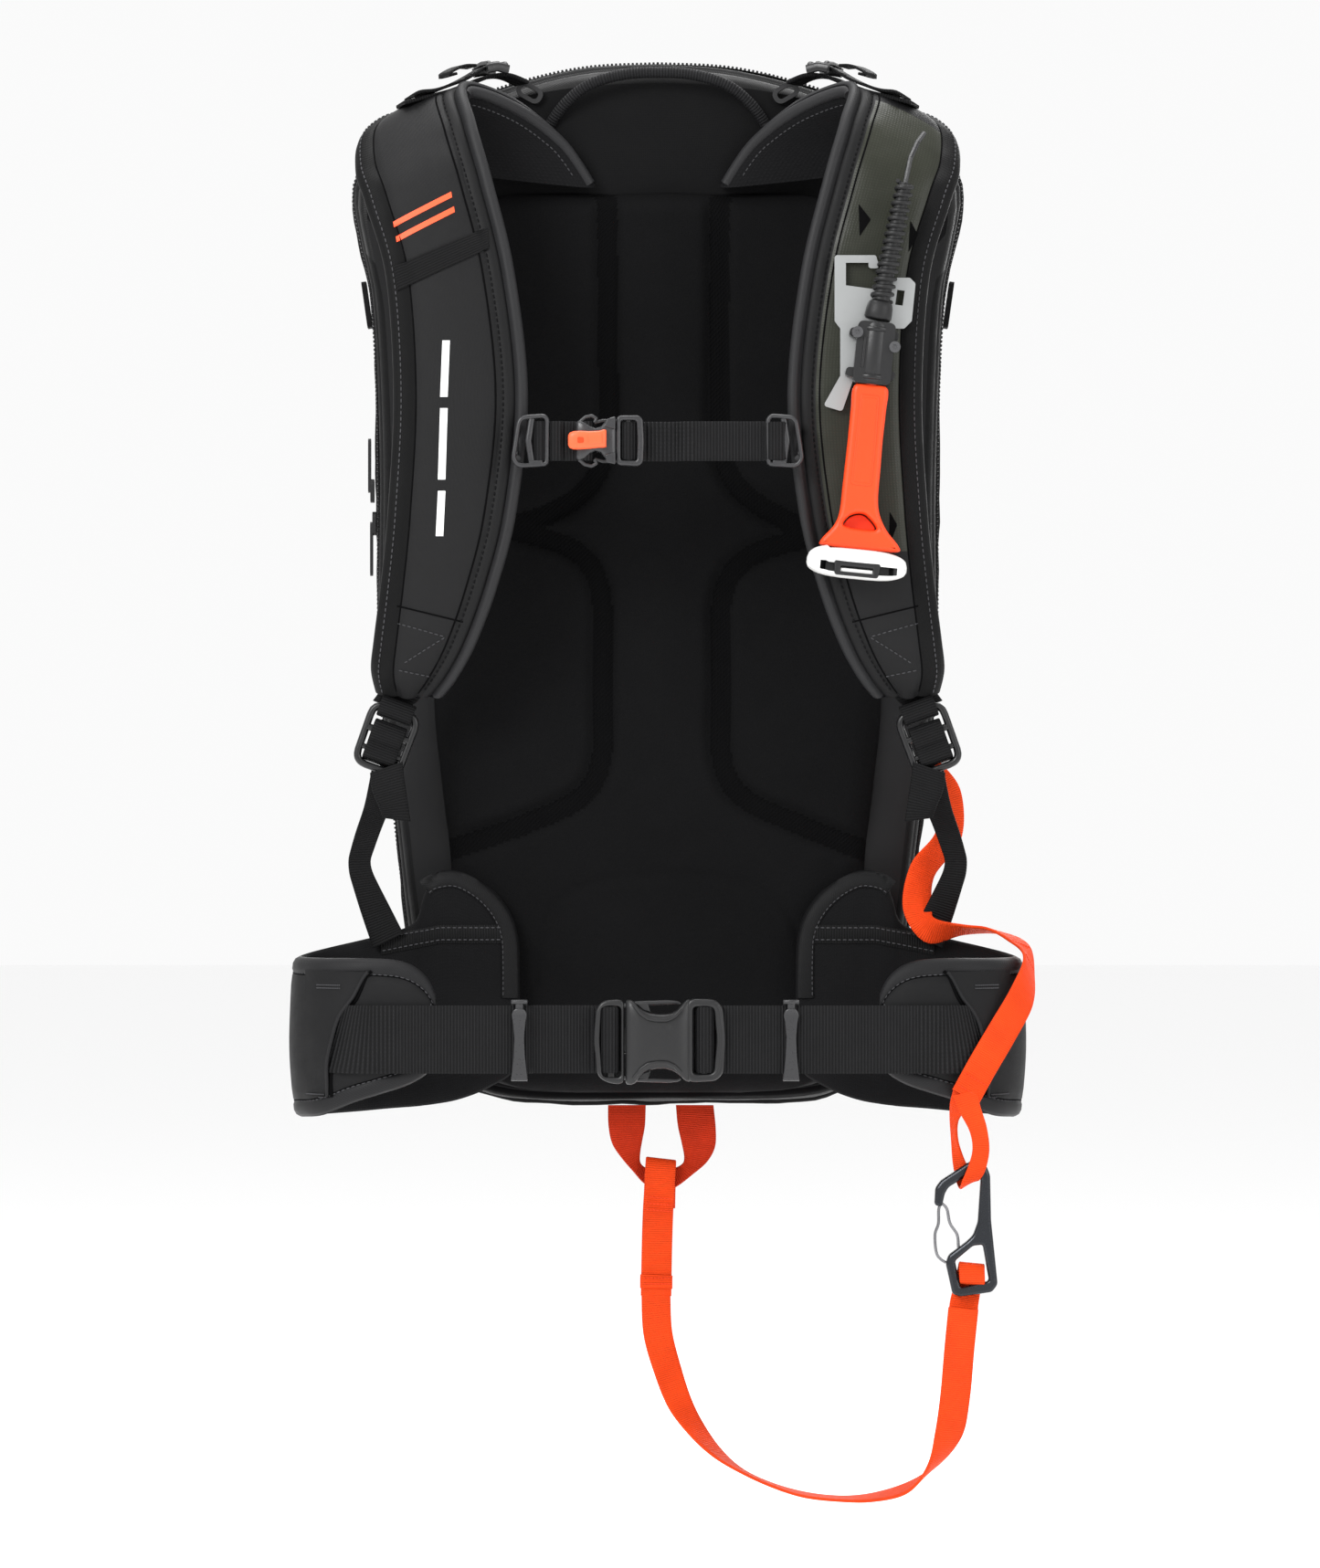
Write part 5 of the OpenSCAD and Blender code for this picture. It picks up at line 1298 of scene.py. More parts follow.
wm = web("mb_wrap", [[-34.4, 1.0, 43], [-31, 0.8, 43], [-28.6, -3.2, 43], [-25.2, -4.6, 43], [-21.8, -3.6, 43], [-20.2, 1.0, 43]], 35, 1.5, M["webbing"], step=0.8)
for o_, body, sl, rp in ((female, "harness", "plastic_grey", ["hip_buckle_female"]), (wf, "harness", "webbing", []), (male, "hip_male", "plastic_grey", ["hip_buckle_male"]), (wm, "hip_male", "webbing", [])):
    o_.data.transform(Matrix.Translation((0, BY / 1000, 0)))
    place(o_, body, rp)


def keeper(name, x, body, node):
    pl_ = plate2("k", [rnd([[-4.3, 22.2], [-3.9, 21.8], [3.9, 21.8], [4.3, 22.2], [3.1, 34], [2.6, 44], [3.4, 53], [4.3, 56.5], [2.4, 59.6], [-2.4, 59.6], [-4.3, 56.5], [-3.4, 53], [-2.6, 44], [-3.1, 34]], 1.6)],
                 -3.6, -1.6, M["clip_plastic"], 0.6, crown=lambda W: W + np.stack([W[:, 0] * 0, -0.5 * np.cos(W[:, 0] / 4.3 * 1.3), W[:, 0] * 0], 1))
    neck = loft_x("k", [(-2.0, 58.5, 63.2, -3.0, -1.4), (-1.6, 58.4, 63.4, -3.3, -1.3), (1.6, 58.4, 63.4, -3.3, -1.3), (2.0, 58.5, 63.2, -3.0, -1.4)], M["clip_plastic"])
    cap = loft_x("k", [(-4.3, 62.2, 63.8, -3.4, 2.8), (-4.0, 61.9, 64.2, -3.8, 3.2), (4.0, 61.9, 64.2, -3.8, 3.2), (4.3, 62.2, 63.8, -3.4, 2.8)], M["clip_plastic"], e=5)
    foot = loft_x("k", [(-4.3, 21.4, 23.4, -3.4, 2.8), (-4.0, 21.2, 23.8, -3.6, 3.2), (4.0, 21.2, 23.8, -3.6, 3.2), (4.3, 21.4, 23.4, -3.4, 2.8)], M["clip_plastic"], e=5)
    back = plate2("k", [rnd([[-4.2, 22], [4.2, 22], [4.2, 63.5], [-4.2, 63.5]], 1)], 1.6, 3.0, M["grey_plastic"], 0.4)
    o_ = join(name, [pl_, neck, cap, foot, back])
    o_.data.transform(Matrix.Translation((x / 1000, BY / 1000, 0)))
    place(o_, body, [node])


keeper("keeper_a", -73.0, "keeper_left", "belt_keeper_left")
keeper("keeper_b", 70.5, "keeper_right", "belt_keeper_right")

# ------------------------------------------------------------------ chest strap
CY, CZ = -91.0, 360.0
for nme, x0, x1 in (("left", -66, -35), ("right", -12, 66)):
    xs_ = np.linspace(x0, x1, 40)
    P = np.stack([xs_, np.full(40, CY) + 0.2 * np.sin(xs_ / 7), np.full(40, CZ)], 1)
    if nme == "right":
        # behind the prong frame, which slides over it
        P[:, 1] += 3.6 * (0.5 + 0.5 * np.cos(np.pi * np.clip((xs_ - 7.5) / 8.0, 0, 1)))
    if nme == "left":
        ob = web("chest_web_" + nme, P, 21, 1.5, M["webbing"])
    else:
        o1 = web("w", P[:17], 21, 1.5, M["webbing_loose"])
        o2 = web("w", P[16:], 21, 1.5, M["webbing"])
        ob = join("chest_web_" + nme, [o1, o2])
    place(ob, "chest_strap", ["chest_webbing_" + nme])
    if nme == "left":
        for k_, xc in enumerate((-62.5, -53.5, -38.0)):
            wl = 6.5 if k_ else 5.0
            o1 = web("chest_fold_%d" % k_, [[xc - wl / 2, CY - 0.8, CZ], [xc - wl / 2 + 1.0, CY - 2.2, CZ], [xc, CY - 2.6, CZ], [xc + wl / 2 - 1.0, CY - 2.2, CZ], [xc + wl / 2, CY - 0.8, CZ]], 21, 1.3, M["webbing"], step=0.8)
            place(o1, "chest_strap")
for sgn, nm in ((-1, "a"), (1, "b")):
    f_ = lambda P: np.array([[p[0] * sgn, p[1]] for p in P])
    ring_ = hoop("c", rnd(f_([[59.4, 347.8], [73.8, 346.8], [76.6, 350.5], [73.2, 372.5], [60.2, 373.4], [58.6, 371.5], [58.8, 349.5]]), 4), CY - 0.8, 1.25, 2.1, M["clip_plastic"], ymap=lambda p: -1.2 * max(0, (abs(p[0]) - 64) / 12))
    bar_ = bar("c", [[sgn * 66.8, CY - 1.0, 348.5], [sgn * 68.6, CY - 1.6, 360], [sgn * 66.8, CY - 1.0, 371.8]], 1.7, 1.5, M["clip_plastic"], step=1)
    foot_ = plate2("c", [rnd(f_([[61, 346.6], [68, 346.2], [68.5, 349.6], [61, 350]])[::sgn], 1)], CY - 3.0, CY + 1.5, M["clip_plastic"], 0.6)
    hook_ = bar("c", [[sgn * 74.2, CY + 0.4, 351], [sgn * 75.2, CY + 4.5, 352], [sgn * 75.6, CY + 8.0, 356], [sgn * 75.2, CY + 8.6, 362], [sgn * 74.2, CY + 6.0, 368], [sgn * 73.4, CY + 1.0, 370.5]], 1.3, 1.6, M["grey_plastic"], step=1)
    o_ = join("chest_clip_" + nm, [ring_, bar_, foot_, hook_])
    place(o_, "chest_strap", ["chest_clips"] if sgn < 0 else [])
    if sgn > 0:
        o1 = web("chest_fold_r", [[57, CY - 0.8, CZ], [59, CY - 2.4, CZ], [64, CY - 2.8, CZ], [67.5, CY - 2.2, CZ], [68.8, CY + 1, CZ]], 20.4, 1.3, M["webbing"], step=0.8)
        place(o1, "chest_strap")
# female with its whistle
cb = loft_x("cf", [(-43.2, 350.6, 370.0, -3.0, 2.4), (-41.8, 349.6, 371.0, -3.8, 3.0), (-39, 350.2, 370.4, -4.2, 3.0), (-36, 353.2, 368.2, -4.4, 3.0), (-33, 354.6, 366.9, -4.5, 3.0), (-30, 353.6, 367.8, -4.4, 3.0),
                   (-27.5, 350.4, 370.8, -4.2, 3.0), (-25, 348.6, 372.6, -4.0, 3.0), (-22.8, 348.2, 373.2, -3.6, 2.8), (-22.2, 348.8, 372.6, -2.8, 2.2)], M["clip_plastic"], e=4.2, n=40)
hooks = [bar("cf", [[-41.5, -1.0, CZ + sg * 10.0], [-38.5, -1.2, CZ + sg * 12.6], [-35, -1.2, CZ + sg * 13.4], [-32.6, -1.2, CZ + sg * 12.0], [-33.4, -1.2, CZ + sg * 9.8]], 1.0, 1.6, M["clip_plastic"], step=0.8) for sg in (-1, 1)]
lip = [plate2("cf", [rnd([[-28, CZ + sg * 7.5], [-22.4, CZ + sg * 6.0], [-22.4, CZ + sg * 12.6], [-27, CZ + sg * 11.6]][::(-1 if sg > 0 else 1)], 0.8)], -5.0, -3.2, M["clip_plastic"], 0.5) for sg in (-1, 1)]
cfem = join("chest_buckle_body", [cb] + hooks + lip)
cfem.data.transform(Matrix.Translation((0, CY / 1000, 0)))
place(cfem, "chest_strap", ["chest_buckle_female"])
wh = loft_x("wh", [(-47.4, 357.6, 362.8, -6.3, -3.4), (-46.6, 356.0, 364.2, -7.0, -3.0), (-44.5, 355.3, 365.0, -7.5, -2.4), (-41, 355.3, 365.2, -7.7, -1.8), (-36, 355.6, 365.0, -7.7, -1.8), (-31, 356.2, 365.2, -7.6, -1.8),
                   (-28.4, 356.2, 366.0, -7.4, -1.8), (-27.2, 356.6, 365.6, -6.8, -2.2)], M["whistle"], e=3.6, n=32)
# the whistle's hole is a thin plate in darker orange over the opening: painted shade in the hole
whistle_hole_shade = plate2("wh_hole_shade", [rnd([[-42.4, 358.6], [-39.2, 358.8], [-39.2, 361.6], [-42.4, 361.8]], 0.8)], -8.05, -7.4, M["thread_orange"], 0.2)
wgr = bar("wh_groove", [[-36.5, -7.75, 360.4], [-29.5, -7.6, 361.0]], 2.6, 0.25, M["whistle"])
wo = join("whistle_body", [wh, whistle_hole_shade, wgr])
wo.data.transform(Matrix.Translation((0, CY / 1000, 0)))
place(wo, "chest_strap", ["whistle"])
# male
cm = plate2("cm", [rnd([[-21.8, 347.2], [-10, 346.6], [-7.6, 349], [-7.2, 360], [-7.8, 371.5], [-10, 373.6], [-21.8, 373.4]], 2.5), rnd([[-19.6, 349.6], [-11.0, 349.4], [-10.6, 360], [-11.2, 371.0], [-19.6, 371.0]], 1.5)],
            CY - 3.6, CY + 2.4, M["clip_plastic"], 0.9)
cbar = bar("cm", [[-15.6, CY - 0.6, 349], [-15.6, CY - 0.6, 371.5]], 1.5, 1.3, M["grey_plastic"])
ctg = bar("cm", [[-22.0, CY, CZ], [-30, CY, CZ]], 5, 1.2, M["clip_plastic"])
cpr = [bar("cm", [[-21, CY - 0.6, CZ + sg * 10.4], [-29, CY - 0.6, CZ + sg * 10.8], [-33.5, CY - 0.6, CZ + sg * 9.6]], 1.0, 1.5, M["grey_plastic"], step=1) for sg in (-1, 1)]
cmo = join("chest_buckle_prongs", [cm, cbar, ctg] + cpr)
place(cmo, "chest_male", ["chest_buckle_male"])
cw = web("chest_wrap_m", [[-9.6, CY + 1.0, CZ], [-11.8, CY - 1.2, CZ], [-15.4, CY - 3.0, CZ], [-18.0, CY - 2.0, CZ], [-19.2, CY + 0.6, CZ]], 20, 1.3, M["webbing"], step=0.6)
place(cw, "chest_male")

# ------------------------------------------------------------------ webbing below the straps and its ladder locks
LO = (-146, -53, 202)
for side, fl in (("left", False), ("right", True)):
    f = (lambda v: np.array(v, float)) if side == "left" else mirror
    body = "lock_" + side
    fr_ = hoop("l", rnd([[-12.2, -16.4], [12.2, -16.4], [12.6, 16.4], [-12.6, 16.4]], 6.5), -0.2, 2.0, 2.6, M["black_plastic"], LO, 20, fl, e=2.4)
    b1_ = bar("l", [[-11.5, -0.6, 3.2], [11.5, -0.6, 3.2]], 1.9, 2.3, M["black_plastic"], origin=LO, rot=20, flip=fl, step=2)
    b2_ = bar("l", [[-11.5, -0.2, -7.4], [11.5, -0.2, -7.4]], 1.5, 2.0, M["black_plastic"], origin=LO, rot=20, flip=fl, step=2)
    o_ = join("ladder_lock_" + side + "_v", [fr_, b1_, b2_])
    place(o_, body, ["ladder_lock_" + side])
    # fold of the strap webbing over the top bar
    w1 = web("lock_fold_" + side, [[0, 3.0, 20.5], [0, -0.8, 21.4], [0, -3.6, 18.4], [0, -3.8, 13.6], [0, -1.2, 11.2], [0, 3.2, 12.6]], 19, 1.4, M["webbing_fine"], wdir=(1, 0, 0), step=0.8, origin=LO, rot=20, flip=fl)
    place(w1, "harness")
    w2 = web("lock_pass_" + side, [[0, 3.4, -3.0], [0, 1.0, 7.6], [0, -2.6, 7.4], [0, -4.2, 3.4], [0, -3.6, -1.4], [0, -2.6, -3.6], [0, -3.4, -7.2], [0, -3.0, -11.6], [0, 1.5, -13.6]], 18, 1.4, M["webbing_fine"], wdir=(1, 0, 0), step=0.8, origin=LO, rot=20, flip=fl)
    place(w2, body)
    ob = band("strap_tab_" + side, f(smooth([[-120, -44.0, 238], [-124, -46.5, 230], [-130, -45.6, 222], [-137.5, -46.4, 217]], 4)), f(smooth([[-147, -44.0, 240], [-149, -46.5, 232], [-150, -45.6, 228], [-153.5, -46.4, 223]], 4)), 1.8, M["webbing_fine"], nx=6)
    place(ob, "harness")
    # webbing down to the belt, and its second layer lying over the top end
    lowA = [[-136, -50, 192], [-137.5, -47, 184], [-142, -43, 171], [-148.5, -37, 156], [-153.4, -33.6, 143], [-155.4, -32, 136.6], [-154.6, -31, 131], [-151.5, -30, 124], [-145.5, -28, 112], [-138, -26.4, 97]]
    lowB = [[-154, -50, 186], [-155.5, -47, 178.5], [-158.5, -43, 165.5], [-163.2, -38, 152], [-166.2, -35.4, 142], [-167.4, -33.6, 136.5], [-167, -32.2, 129.5], [-165, -31, 122], [-160.5, -28.8, 107], [-154.5, -26.2, 89]]
    ob = band("lower_web_" + side + "_v", f(smooth(lowA, 6)), f(smooth(lowB, 6)), 1.6, M["webbing_fine"], nx=6, step=2)
    place(ob, "harness", ["lower_webbing_" + side])
    tl = band("lower_tail_" + side, f(smooth([[-137, -56.5, 190], [-136, -56, 180], [-134.5, -54, 170], [-133, -51, 158]], 6)), f(smooth([[-154.5, -56.5, 184], [-153.5, -56, 175], [-150, -54, 166], [-148, -51, 160]], 6)), 1.6, M["webbing_fine"], nx=6, step=2)
    place(tl, "harness")

# ------------------------------------------------------------------ load lifters at the top corners
for side, fl in (("left", False), ("right", True)):
    f = (lambda v: np.array(v, float)) if side == "left" else mirror
    la = [[-70, -14, 560.5], [-80, -17.5, 564], [-90, -21, 563.0], [-102, -33, 556.8], [-114, -46, 551.2], [-126, -52, 547.4], [-136, -55, 544.4]]
    lb = [[-78, -2, 560.5], [-87, -5.5, 564], [-96, -9, 563.0], [-108, -21, 556.8], [-120, -34, 550.4], [-131, -40, 545.8], [-141, -43, 543]]
    ob = band("lifter_web_" + side + "_v", f(smooth(la, 6)), f(smooth(lb, 6)), 2.0, M["webbing_fine"], nx=6, step=2)
    place(ob, "harness", ["lifter_webbing_" + side])
    # free tail lying over the strap in two loose folds
    ta = [[-94, -27, 566.5], [-103, -36, 559.6], [-111.5, -45, 555.0], [-119.5, -50.5, 551.8], [-127, -54, 550.6], [-131, -56, 548.4]]
    tb = [[-100, -13, 566.5], [-109, -24, 559.6], [-117.5, -33.5, 554.4], [-125.5, -38.5, 550.6], [-132.5, -41.5, 549], [-136.5, -43, 546.8]]
    ob = band("lifter_tail_" + side, f(smooth(ta, 6)), f(smooth(tb, 6)), 1.6, M["webbing_fine"], nx=6, step=2)
    place(ob, "harness")
    t2a = [[-98, -30.4, 567.6], [-104, -38, 566.4], [-110, -46, 562.6], [-112, -48.6, 560.4], [-108, -44, 561.4]]
    t2b = [[-104, -17.6, 567.6], [-110.5, -26, 566.6], [-117, -34.6, 562.4], [-118.6, -37, 559.8], [-114.5, -32, 561.2]]
    ob = band("lifter_fold_" + side, f(smooth(t2a, 6)), f(smooth(t2b, 6)), 1.5, M["webbing_fine"], nx=6, step=2)
    place(ob, "harness")
    bo = (-91, -16, 566.6)
    parts_ = []
    for dx in (-4.6, 0.6, 4.9):
        parts_.append(bar("lb", [[dx, -10.8, 0.5], [dx, -10.2, 2.6], [dx, 0, 3.4], [dx, 10.2, 2.6], [dx, 10.8, 0.5]], 1.5, 1.3, M["black_plastic"], up=(0, 0, 1), step=1.5))
    for dy in (-10.8, 10.8):
        parts_.append(bar("lb", [[-6, dy, -0.5], [0, dy, 0.8], [6.4, dy, -0.5]], 1.5, 2.6, M["black_plastic"], up=(0, 0, 1), step=1.5))
    o_ = join("lifter_buckle_" + side, parts_)
    c22, s22 = math.cos(math.radians(22)), math.sin(math.radians(22))
    for v in o_.data.vertices:
        q = np.array(v.co) * 1000 + H0
        q = np.array([q[0] * c22 - q[1] * s22, q[0] * s22 + q[1] * c22, q[2]]) + np.array(bo)
        if fl:
            q[0] *= -1
        v.co = R(q)
    if fl:
        o_.data.flip_normals()
    place(o_, "harness", ["lifter_buckles"] if not fl else [])

# ------------------------------------------------------------------ trigger handle
TR = (114.6, -96, 406)
TA = 5.7
hand = plate2("handle", [closed([[-8.8, -18], [0, -17.2], [8.8, -18], [9.2, -30], [9.0, -46], [9.3, -60], [9.6, -76], [11.4, -85], [16, -93], [23.2, -100.8], [21.6, -103.6], [2, -104.4], [-16.6, -103.6], [-18.2, -100.8], [-12.4, -93], [-9.8, -85], [-9.5, -70], [-9.2, -46], [-9.2, -30]], 5),
                         closed([[-7.2, -92.2], [-4.6, -87.0], [0.6, -85.0], [5.2, -86.2], [10.6, -92.6], [2, -93.6]], 5)],
              -7, 7, M["orange"], 2.2, TR, TA, sharp=50)
rec = plate2("grip_panel", [rnd([[-5.0, -22.5], [5.0, -22.5], [5.6, -46], [5.6, -70.5], [-5.6, -70.5], [-5.4, -46]], 1.6)], -7.35, -6.6, M["orange"], 0.34, TR, TA)
rec2 = plate2("grip_panel_in", [rnd([[-3.9, -24], [3.9, -24], [4.5, -46], [4.5, -69], [-4.5, -69], [-4.3, -46]], 1.2)], -7.55, -6.8, M["orange"], 0.25, TR, TA)
back_web = plate2("window_back", [closed([[-6.6, -92.4], [-4.2, -87.6], [0.6, -85.6], [4.9, -86.8], [9.8, -92.6], [2, -93.6]], 5)], 2.2, 4.6, M["orange"], 0.4, TR, TA)
collar = bar("collar", [[0, 0, 4], [0, 0, -14], [0, 0, -18.6]], 5.2, 5.2, M["orange"], e=2, up=(0, 1, 0), origin=TR, rot=TA, n=20)
hn = join("trigger_grip", [hand, rec, rec2, back_web, collar])
place(hn, "trigger", ["trigger_handle"])
# cap: rounded bar with a slot along its lower front
rings = []
for x in np.r_[np.linspace(-24.6, -19.5, 7), np.linspace(-17.5, 21.5, 27), np.linspace(23.4, 28.4, 7)]:
    u_ = (x - 1.9) / 26.5
    k_ = max(0.0, 1 - abs(u_) ** 3.4) ** 0.5
    zt = -104.4 - 6.2 * (1 - k_) + (1.6 if x < -14 else 0) * k_
    zb = -119.0 + 5.2 * (1 - k_) - 0.8 * k_
    yf, yb = -4.2 - 6.6 * k_, 3.4 + 5.6 * k_
    slot = np.clip((19.5 - abs(x - 2.2)) / 2.2, 0, 1)
    zs0, zs1 = zt - (zt - zb) * 0.52, zt - (zt - zb) * 0.84
    ring_ = [(yb, zt - 1.6), (yb - 1.2, zt - 0.4), (yb - 3, zt), (yf + 4.2, zt + 0.2), (yf + 1.8, zt - 0.6), (yf + 0.5, zt - 2.2), (yf, zt - 4.0), (yf, zs0 + 0.8), (yf + 0.4, zs0),
             (yf + 0.4 + 5.0 * slot, zs0 - 0.1), (yf + 0.4 + 5.0 * slot, zs1 + 0.1), (yf + 0.5, zs1), (yf + 0.5, zs1 - 0.8), (yf + 1.6, zb + 0.7), (yf + 3.2, zb), (yb - 3, zb + 0.2), (yb - 1.2, zb + 0.8), (yb, zb + 2.2)]
    rings.append([[x, y_, z_] for y_, z_ in ring_])
capv = loft("trigger_cap_v", turn(np.array(rings), TR, TA), [M["white"], M["black_plastic"]], mat_of=lambda i, j: 1 if (j in (8, 9, 10) and 6 < i < 34) else 0, sharp=42)
place(capv, "trigger", ["trigger_cap"])
ins = plate2("cap_insert", [rnd([[-9.6, -118.8], [13.6, -118.8], [14.4, -111.0], [-10.4, -111.0]], 1.5), rnd([[-6.6, -117.0], [10.6, -117.0], [10.6, -113.8], [-6.6, -113.8]], 0.9)], -10.9, -5.4, M["buckle_plastic"], 0.7, TR, TA)
inw = bar("cap_bar", [[-6.4, -8.6, -115.9], [10.4, -8.6, -115.9]], 1.0, 1.1, M["white"], origin=TR, rot=TA, step=2, up=(0, 0, 1))
io = join("cap_insert_v", [ins, inw])
place(io, "trigger", ["trigger_insert"])

# strain relief: a collar, a core and the moulded coil round it
BA = np.array([math.sin(math.radians(11.5)), 0, math.cos(math.radians(11.5))])
BX = np.array([BA[2], 0, -BA[0]])
B0 = np.array([116.4, -96.0, 424.0])
collar2 = bar("cb", [B0, B0 + BA * 1.2, B0 + BA * 4, B0 + BA * 7.2, B0 + BA * 9, B0 + BA * 10.6], 7.2, 7.2, M["boot"], e=2.1, n=28, scale=[0.9, 1, 1, 0.95, 0.86, 0.62])
core = bar("cb", [B0 + BA * 8, B0 + BA * 40, B0 + BA * 74], 4.5, 4.5, M["boot"], e=2, n=20, scale=[1, 0.9, 0.74])
hx = []
for q in np.linspace(0, 1, 420):
    k_ = 10.5 + 64 * q
    r_ = 5.3 - 1.3 * q
    ph = 2 * math.pi * 15.5 * q
    hx.append(B0 + BA * k_ + (BX * math.cos(ph) + np.array([0, 1.0, 0]) * math.sin(ph)) * r_)
coil2 = tube("cb", np.array(hx), 1.15, M["boot"], 7)
bt = join("strain_relief", [collar2, core, coil2])
place(bt, "harness", ["cable_boot"])

# barrel of the dock round the trigger's stem, with its end rings
barrel = join("dock_barrel", [bar("db", [[0, 0, -15.5], [0, 0, -14.2], [0, 0, 14.6], [0, 0, 16.2]], 8.3, 7.9, M["buckle_plastic"], e=2, origin=TR, rot=TA, n=28, scale=[0.93, 1, 1, 0.93])]
              + [bar("db", [[0, 0, z_ - 1.3], [0, 0, z_ - 0.8], [0, 0, z_ + 0.8], [0, 0, z_ + 1.3]], 9.0, 8.6, M["black_plastic"], e=2, origin=TR, rot=TA, n=28, scale=[0.94, 1, 1, 0.94]) for z_ in (-12.6, 12.8)]
              + [bar("db", [[-5.6, -6.9, -8], [-5.6, -6.9, 8]], 0.8, 0.8, M["black_plastic"], origin=TR, rot=TA, step=2)])
place(barrel, "harness")

# ------------------------------------------------------------------ the folded airbag behind the frame
bag_rings = []
for x in np.r_[np.linspace(-109, -96, 7), np.linspace(-90, 90, 61), np.linspace(96, 109, 7)]:
    k_ = max(0.06, 1 - abs(x / 110.0) ** 7) ** 0.42
    ring_ = []
    for q in range(96):
        th_ = 2 * math.pi * q / 96
        c_, s_ = math.cos(th_), math.sin(th_)
        r_ = (abs(c_) ** 3.4 + abs(s_) ** 3.4) ** (-1 / 3.4)
        pleat = 1 - 0.055 * (0.5 + 0.5 * math.sin(11 * th_ + 0.8 * math.sin(x / 19.0))) - 0.012 * math.sin(x / 3.1 + 5 * th_)
        tie = 1 - 0.05 * math.exp(-((abs(x) - 52) / 9) ** 2)
        ring_.append([x, 55 + 40.5 * k_ * r_ * c_ * pleat * tie, 478 + 46.5 * k_ * r_ * s_ * pleat * tie])
    bag_rings.append(ring_)
folded = loft("folded_airbag", np.array(bag_rings), M["airbag_cloth"], sharp=70)
place(folded, "harness", ["airbag_pack"])
ties = []
for x in (-52, 52):
    L_ = []
    for q in range(49):
        th_ = 2 * math.pi * q / 48
        c_, s_ = math.cos(th_), math.sin(th_)
        r_ = (abs(c_) ** 3.4 + abs(s_) ** 3.4) ** (-1 / 3.4)
        L_.append([x, 55 + 39.4 * r_ * c_, 478 + 45.2 * r_ * s_])
    L_ = np.array(L_)
    ties.append(band("tie", L_ - [8, 0, 0], L_ + [8, 0, 0], 1.6, M["webbing_fine"], nx=4))
tj = join("airbag_ties", ties)
place(tj, "harness")

# ------------------------------------------------------------------ slots of the film patch
for k_, tri in enumerate(([[107.0, 487], [113.5, 478.5], [107.5, 469.5]], [[134.5, 478], [138.5, 471], [133.5, 461]], [[123.5, 323], [127.5, 316], [123.0, 304]], [[105, 425], [109.5, 416], [105.5, 408]])):
    L = rnd(tri, 0.8)
    cx, cz = np.mean([t_[0] for t_ in tri]), np.mean([t_[1] for t_ in tri])
    p, n = hit(BR, cx, cz)
    if p is not None:
        V, F = [p + n * 0.35], []
        for q in L:
            pp, nn = hit(BR, q[0], q[1])
            V.append((pp if pp is not None else p) + n * 0.35)
        m_ = len(L)
        F = [(0, 1 + (q + 1) % m_, 1 + q) for q in range(m_)]
        if signed(np.array(V) - p, F) < 0:
            pass
        o_ = add("patch_slot_%d" % k_, V, F, M["seam"])
        place(o_, "harness")

# ------------------------------------------------------------------ zip teeth round the gusset
def zip_path(s_, y):
    p = outline
    return np.stack([p[:, 0] * s_, np.full(len(p), y), MZ + (p[:, 1] - MZ) * s_], 1)


for nm, y, body, node in (("tray", 28.4, "harness", "zip_track_tray"), ("shell", 31.6, "bag", "zip_track_shell")):
    Pz = zip_path(0.985 + 0.75 / 157, y)
    L0 = np.vstack([Pz, Pz[:1]])
    sel = resample(L0, step=2.3)
    keep_ = sel[:, 2] > 14
    t_ = tang(sel)
    V, F = [], []
    for q in np.where(keep_)[0]:
        c_, t1 = sel[q], t_[q]
        yv = np.array([0, 1.0, 0])
        o1 = unit(np.cross(yv, t1))
        if np.dot(o1, c_ - np.array([0, 0, MZ])) < 0:
            o1 = -o1
        b_ = len(V)
        for a1 in (-1.55, 1.55):
            for b1, c1 in ((-0.75, -0.4), (0.75, -0.4), (0.5, 0.75), (-0.5, 0.75)):
                V.append(c_ + yv * a1 + t1 * b1 + o1 * c1)
        for fc in ((0, 1, 2, 3), (7, 6, 5, 4), (0, 4, 5, 1), (1, 5, 6, 2), (2, 6, 7, 3), (3, 7, 4, 0)):
            F.append(tuple(b_ + w_ for w_ in fc))
    coil = add("zip_coil_" + nm, V, F, M["zip"], sharp=30)
    A_ = zip_path(0.985 + 0.35 / 157, y - 2.6 if nm == "tray" else y - 1.2)
    B_ = zip_path(0.985 + 0.35 / 157, y + 1.2 if nm == "tray" else y + 2.6)
    ok = A_[:, 2] > 14
    k0 = int(np.argmin(ok))
    A_, B_, ok = np.roll(A_, -k0, 0), np.roll(B_, -k0, 0), np.roll(ok, -k0)
    tape = band("t", A_[ok], B_[ok], 0.5, M["webbing_fine"], nx=3)
    o_ = join("zip_side_" + nm, [coil, tape])
    place(o_, body, [node])

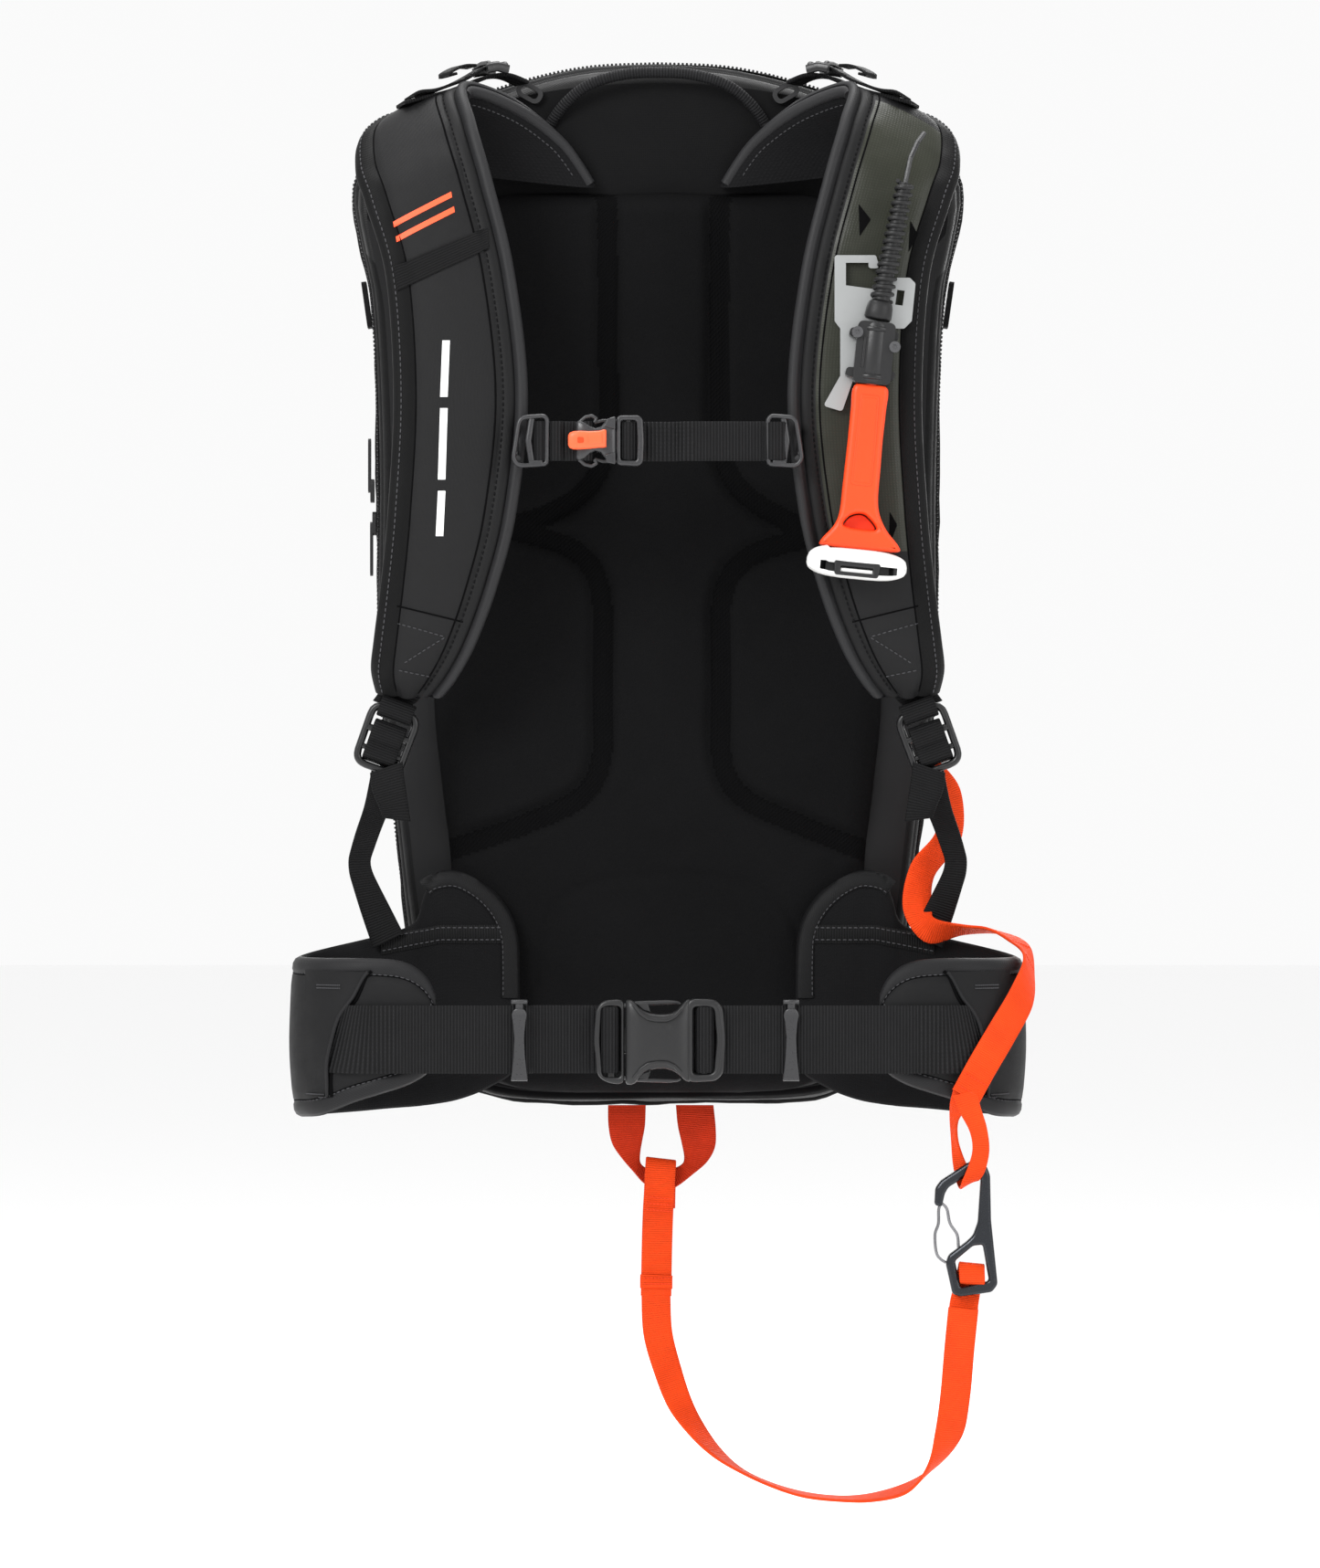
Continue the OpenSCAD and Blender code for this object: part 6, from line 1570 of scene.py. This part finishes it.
# ------------------------------------------------------------------ CAD nodes that keep their shape
def dress(node, mat, bev=0.0006, seg=3):
    o = N[node]
    o.data.materials.clear()
    o.data.materials.append(mat)
    if bev:
        b_ = o.modifiers.new("edge", "BEVEL")
        b_.width = bev
        b_.segments = seg
        b_.limit_method = "ANGLE"
        b_.angle_limit = math.radians(35)
        b_.harden_normals = False


for node, mat, bev in [("lifter_rings", "grey_plastic", .0005), ("dock_plate", "metal", .0003), ("dock_clamp", "buckle_plastic", .0008), ("dock_screws", "screw_dark", .0004),
                       ("release_cable", "grey_plastic", 0), ("zip_slider_lower", "zip", .0004), ("zip_slider_upper", "zip", .0004),
                       ("lash_loops", "webbing_fine", .0004), 
                       
                       ("frame_sheet", "white", 0), ("frame_stays", "screw", 0), 
                       ("fan_unit", "black_plastic", .0006), ("power_pack", "black_plastic", .001)]:
    dress(node, M[mat], bev)
# the film patch is the strap's own centre panel here
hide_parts("trigger_patch")

# ------------------------------------------------------------------ floor and light
bpy.ops.mesh.primitive_plane_add(size=1, location=(0, 0, -0.98))
floor = bpy.context.object
floor.name = "floor"
floor.scale = (30, 30, 1)
fm_, fnt, fb = mk("floor_pale", (0.96, 0.96, 0.96), 0.95)
floor.data.materials.append(fm_)
w = bpy.data.worlds.new("studio")
bpy.context.scene.world = w
w.use_nodes = True
w.node_tree.nodes["Background"].inputs[0].default_value = (1, 1, 1, 1)
w.node_tree.nodes["Background"].inputs[1].default_value = 0.96
bpy.context.scene.view_settings.view_transform = "Standard"


def area(name, loc, target, size, power):
    d = bpy.data.lights.new(name, "AREA")
    d.shape = "RECTANGLE"
    d.size, d.size_y = size
    d.energy = power
    o = bpy.data.objects.new(name, d)
    bpy.context.scene.collection.objects.link(o)
    o.location = loc
    o.rotation_euler = (Vector(target) - Vector(loc)).to_track_quat("-Z", "Y").to_euler()
    return o


area("key", (-1.6, -2.2, 1.2), (0, 0, -0.3), (1.3, 1.3), 72)
area("fill", (2.0, -1.8, 0.4), (0, 0, -0.35), (1.2, 1.8), 22)
area("top", (0, 0.3, 2.0), (0, 0, -0.2), (1.6, 1.0), 46)
area("back", (0.6, 2.4, 0.8), (0, 0, -0.3), (2.0, 2.0), 40)
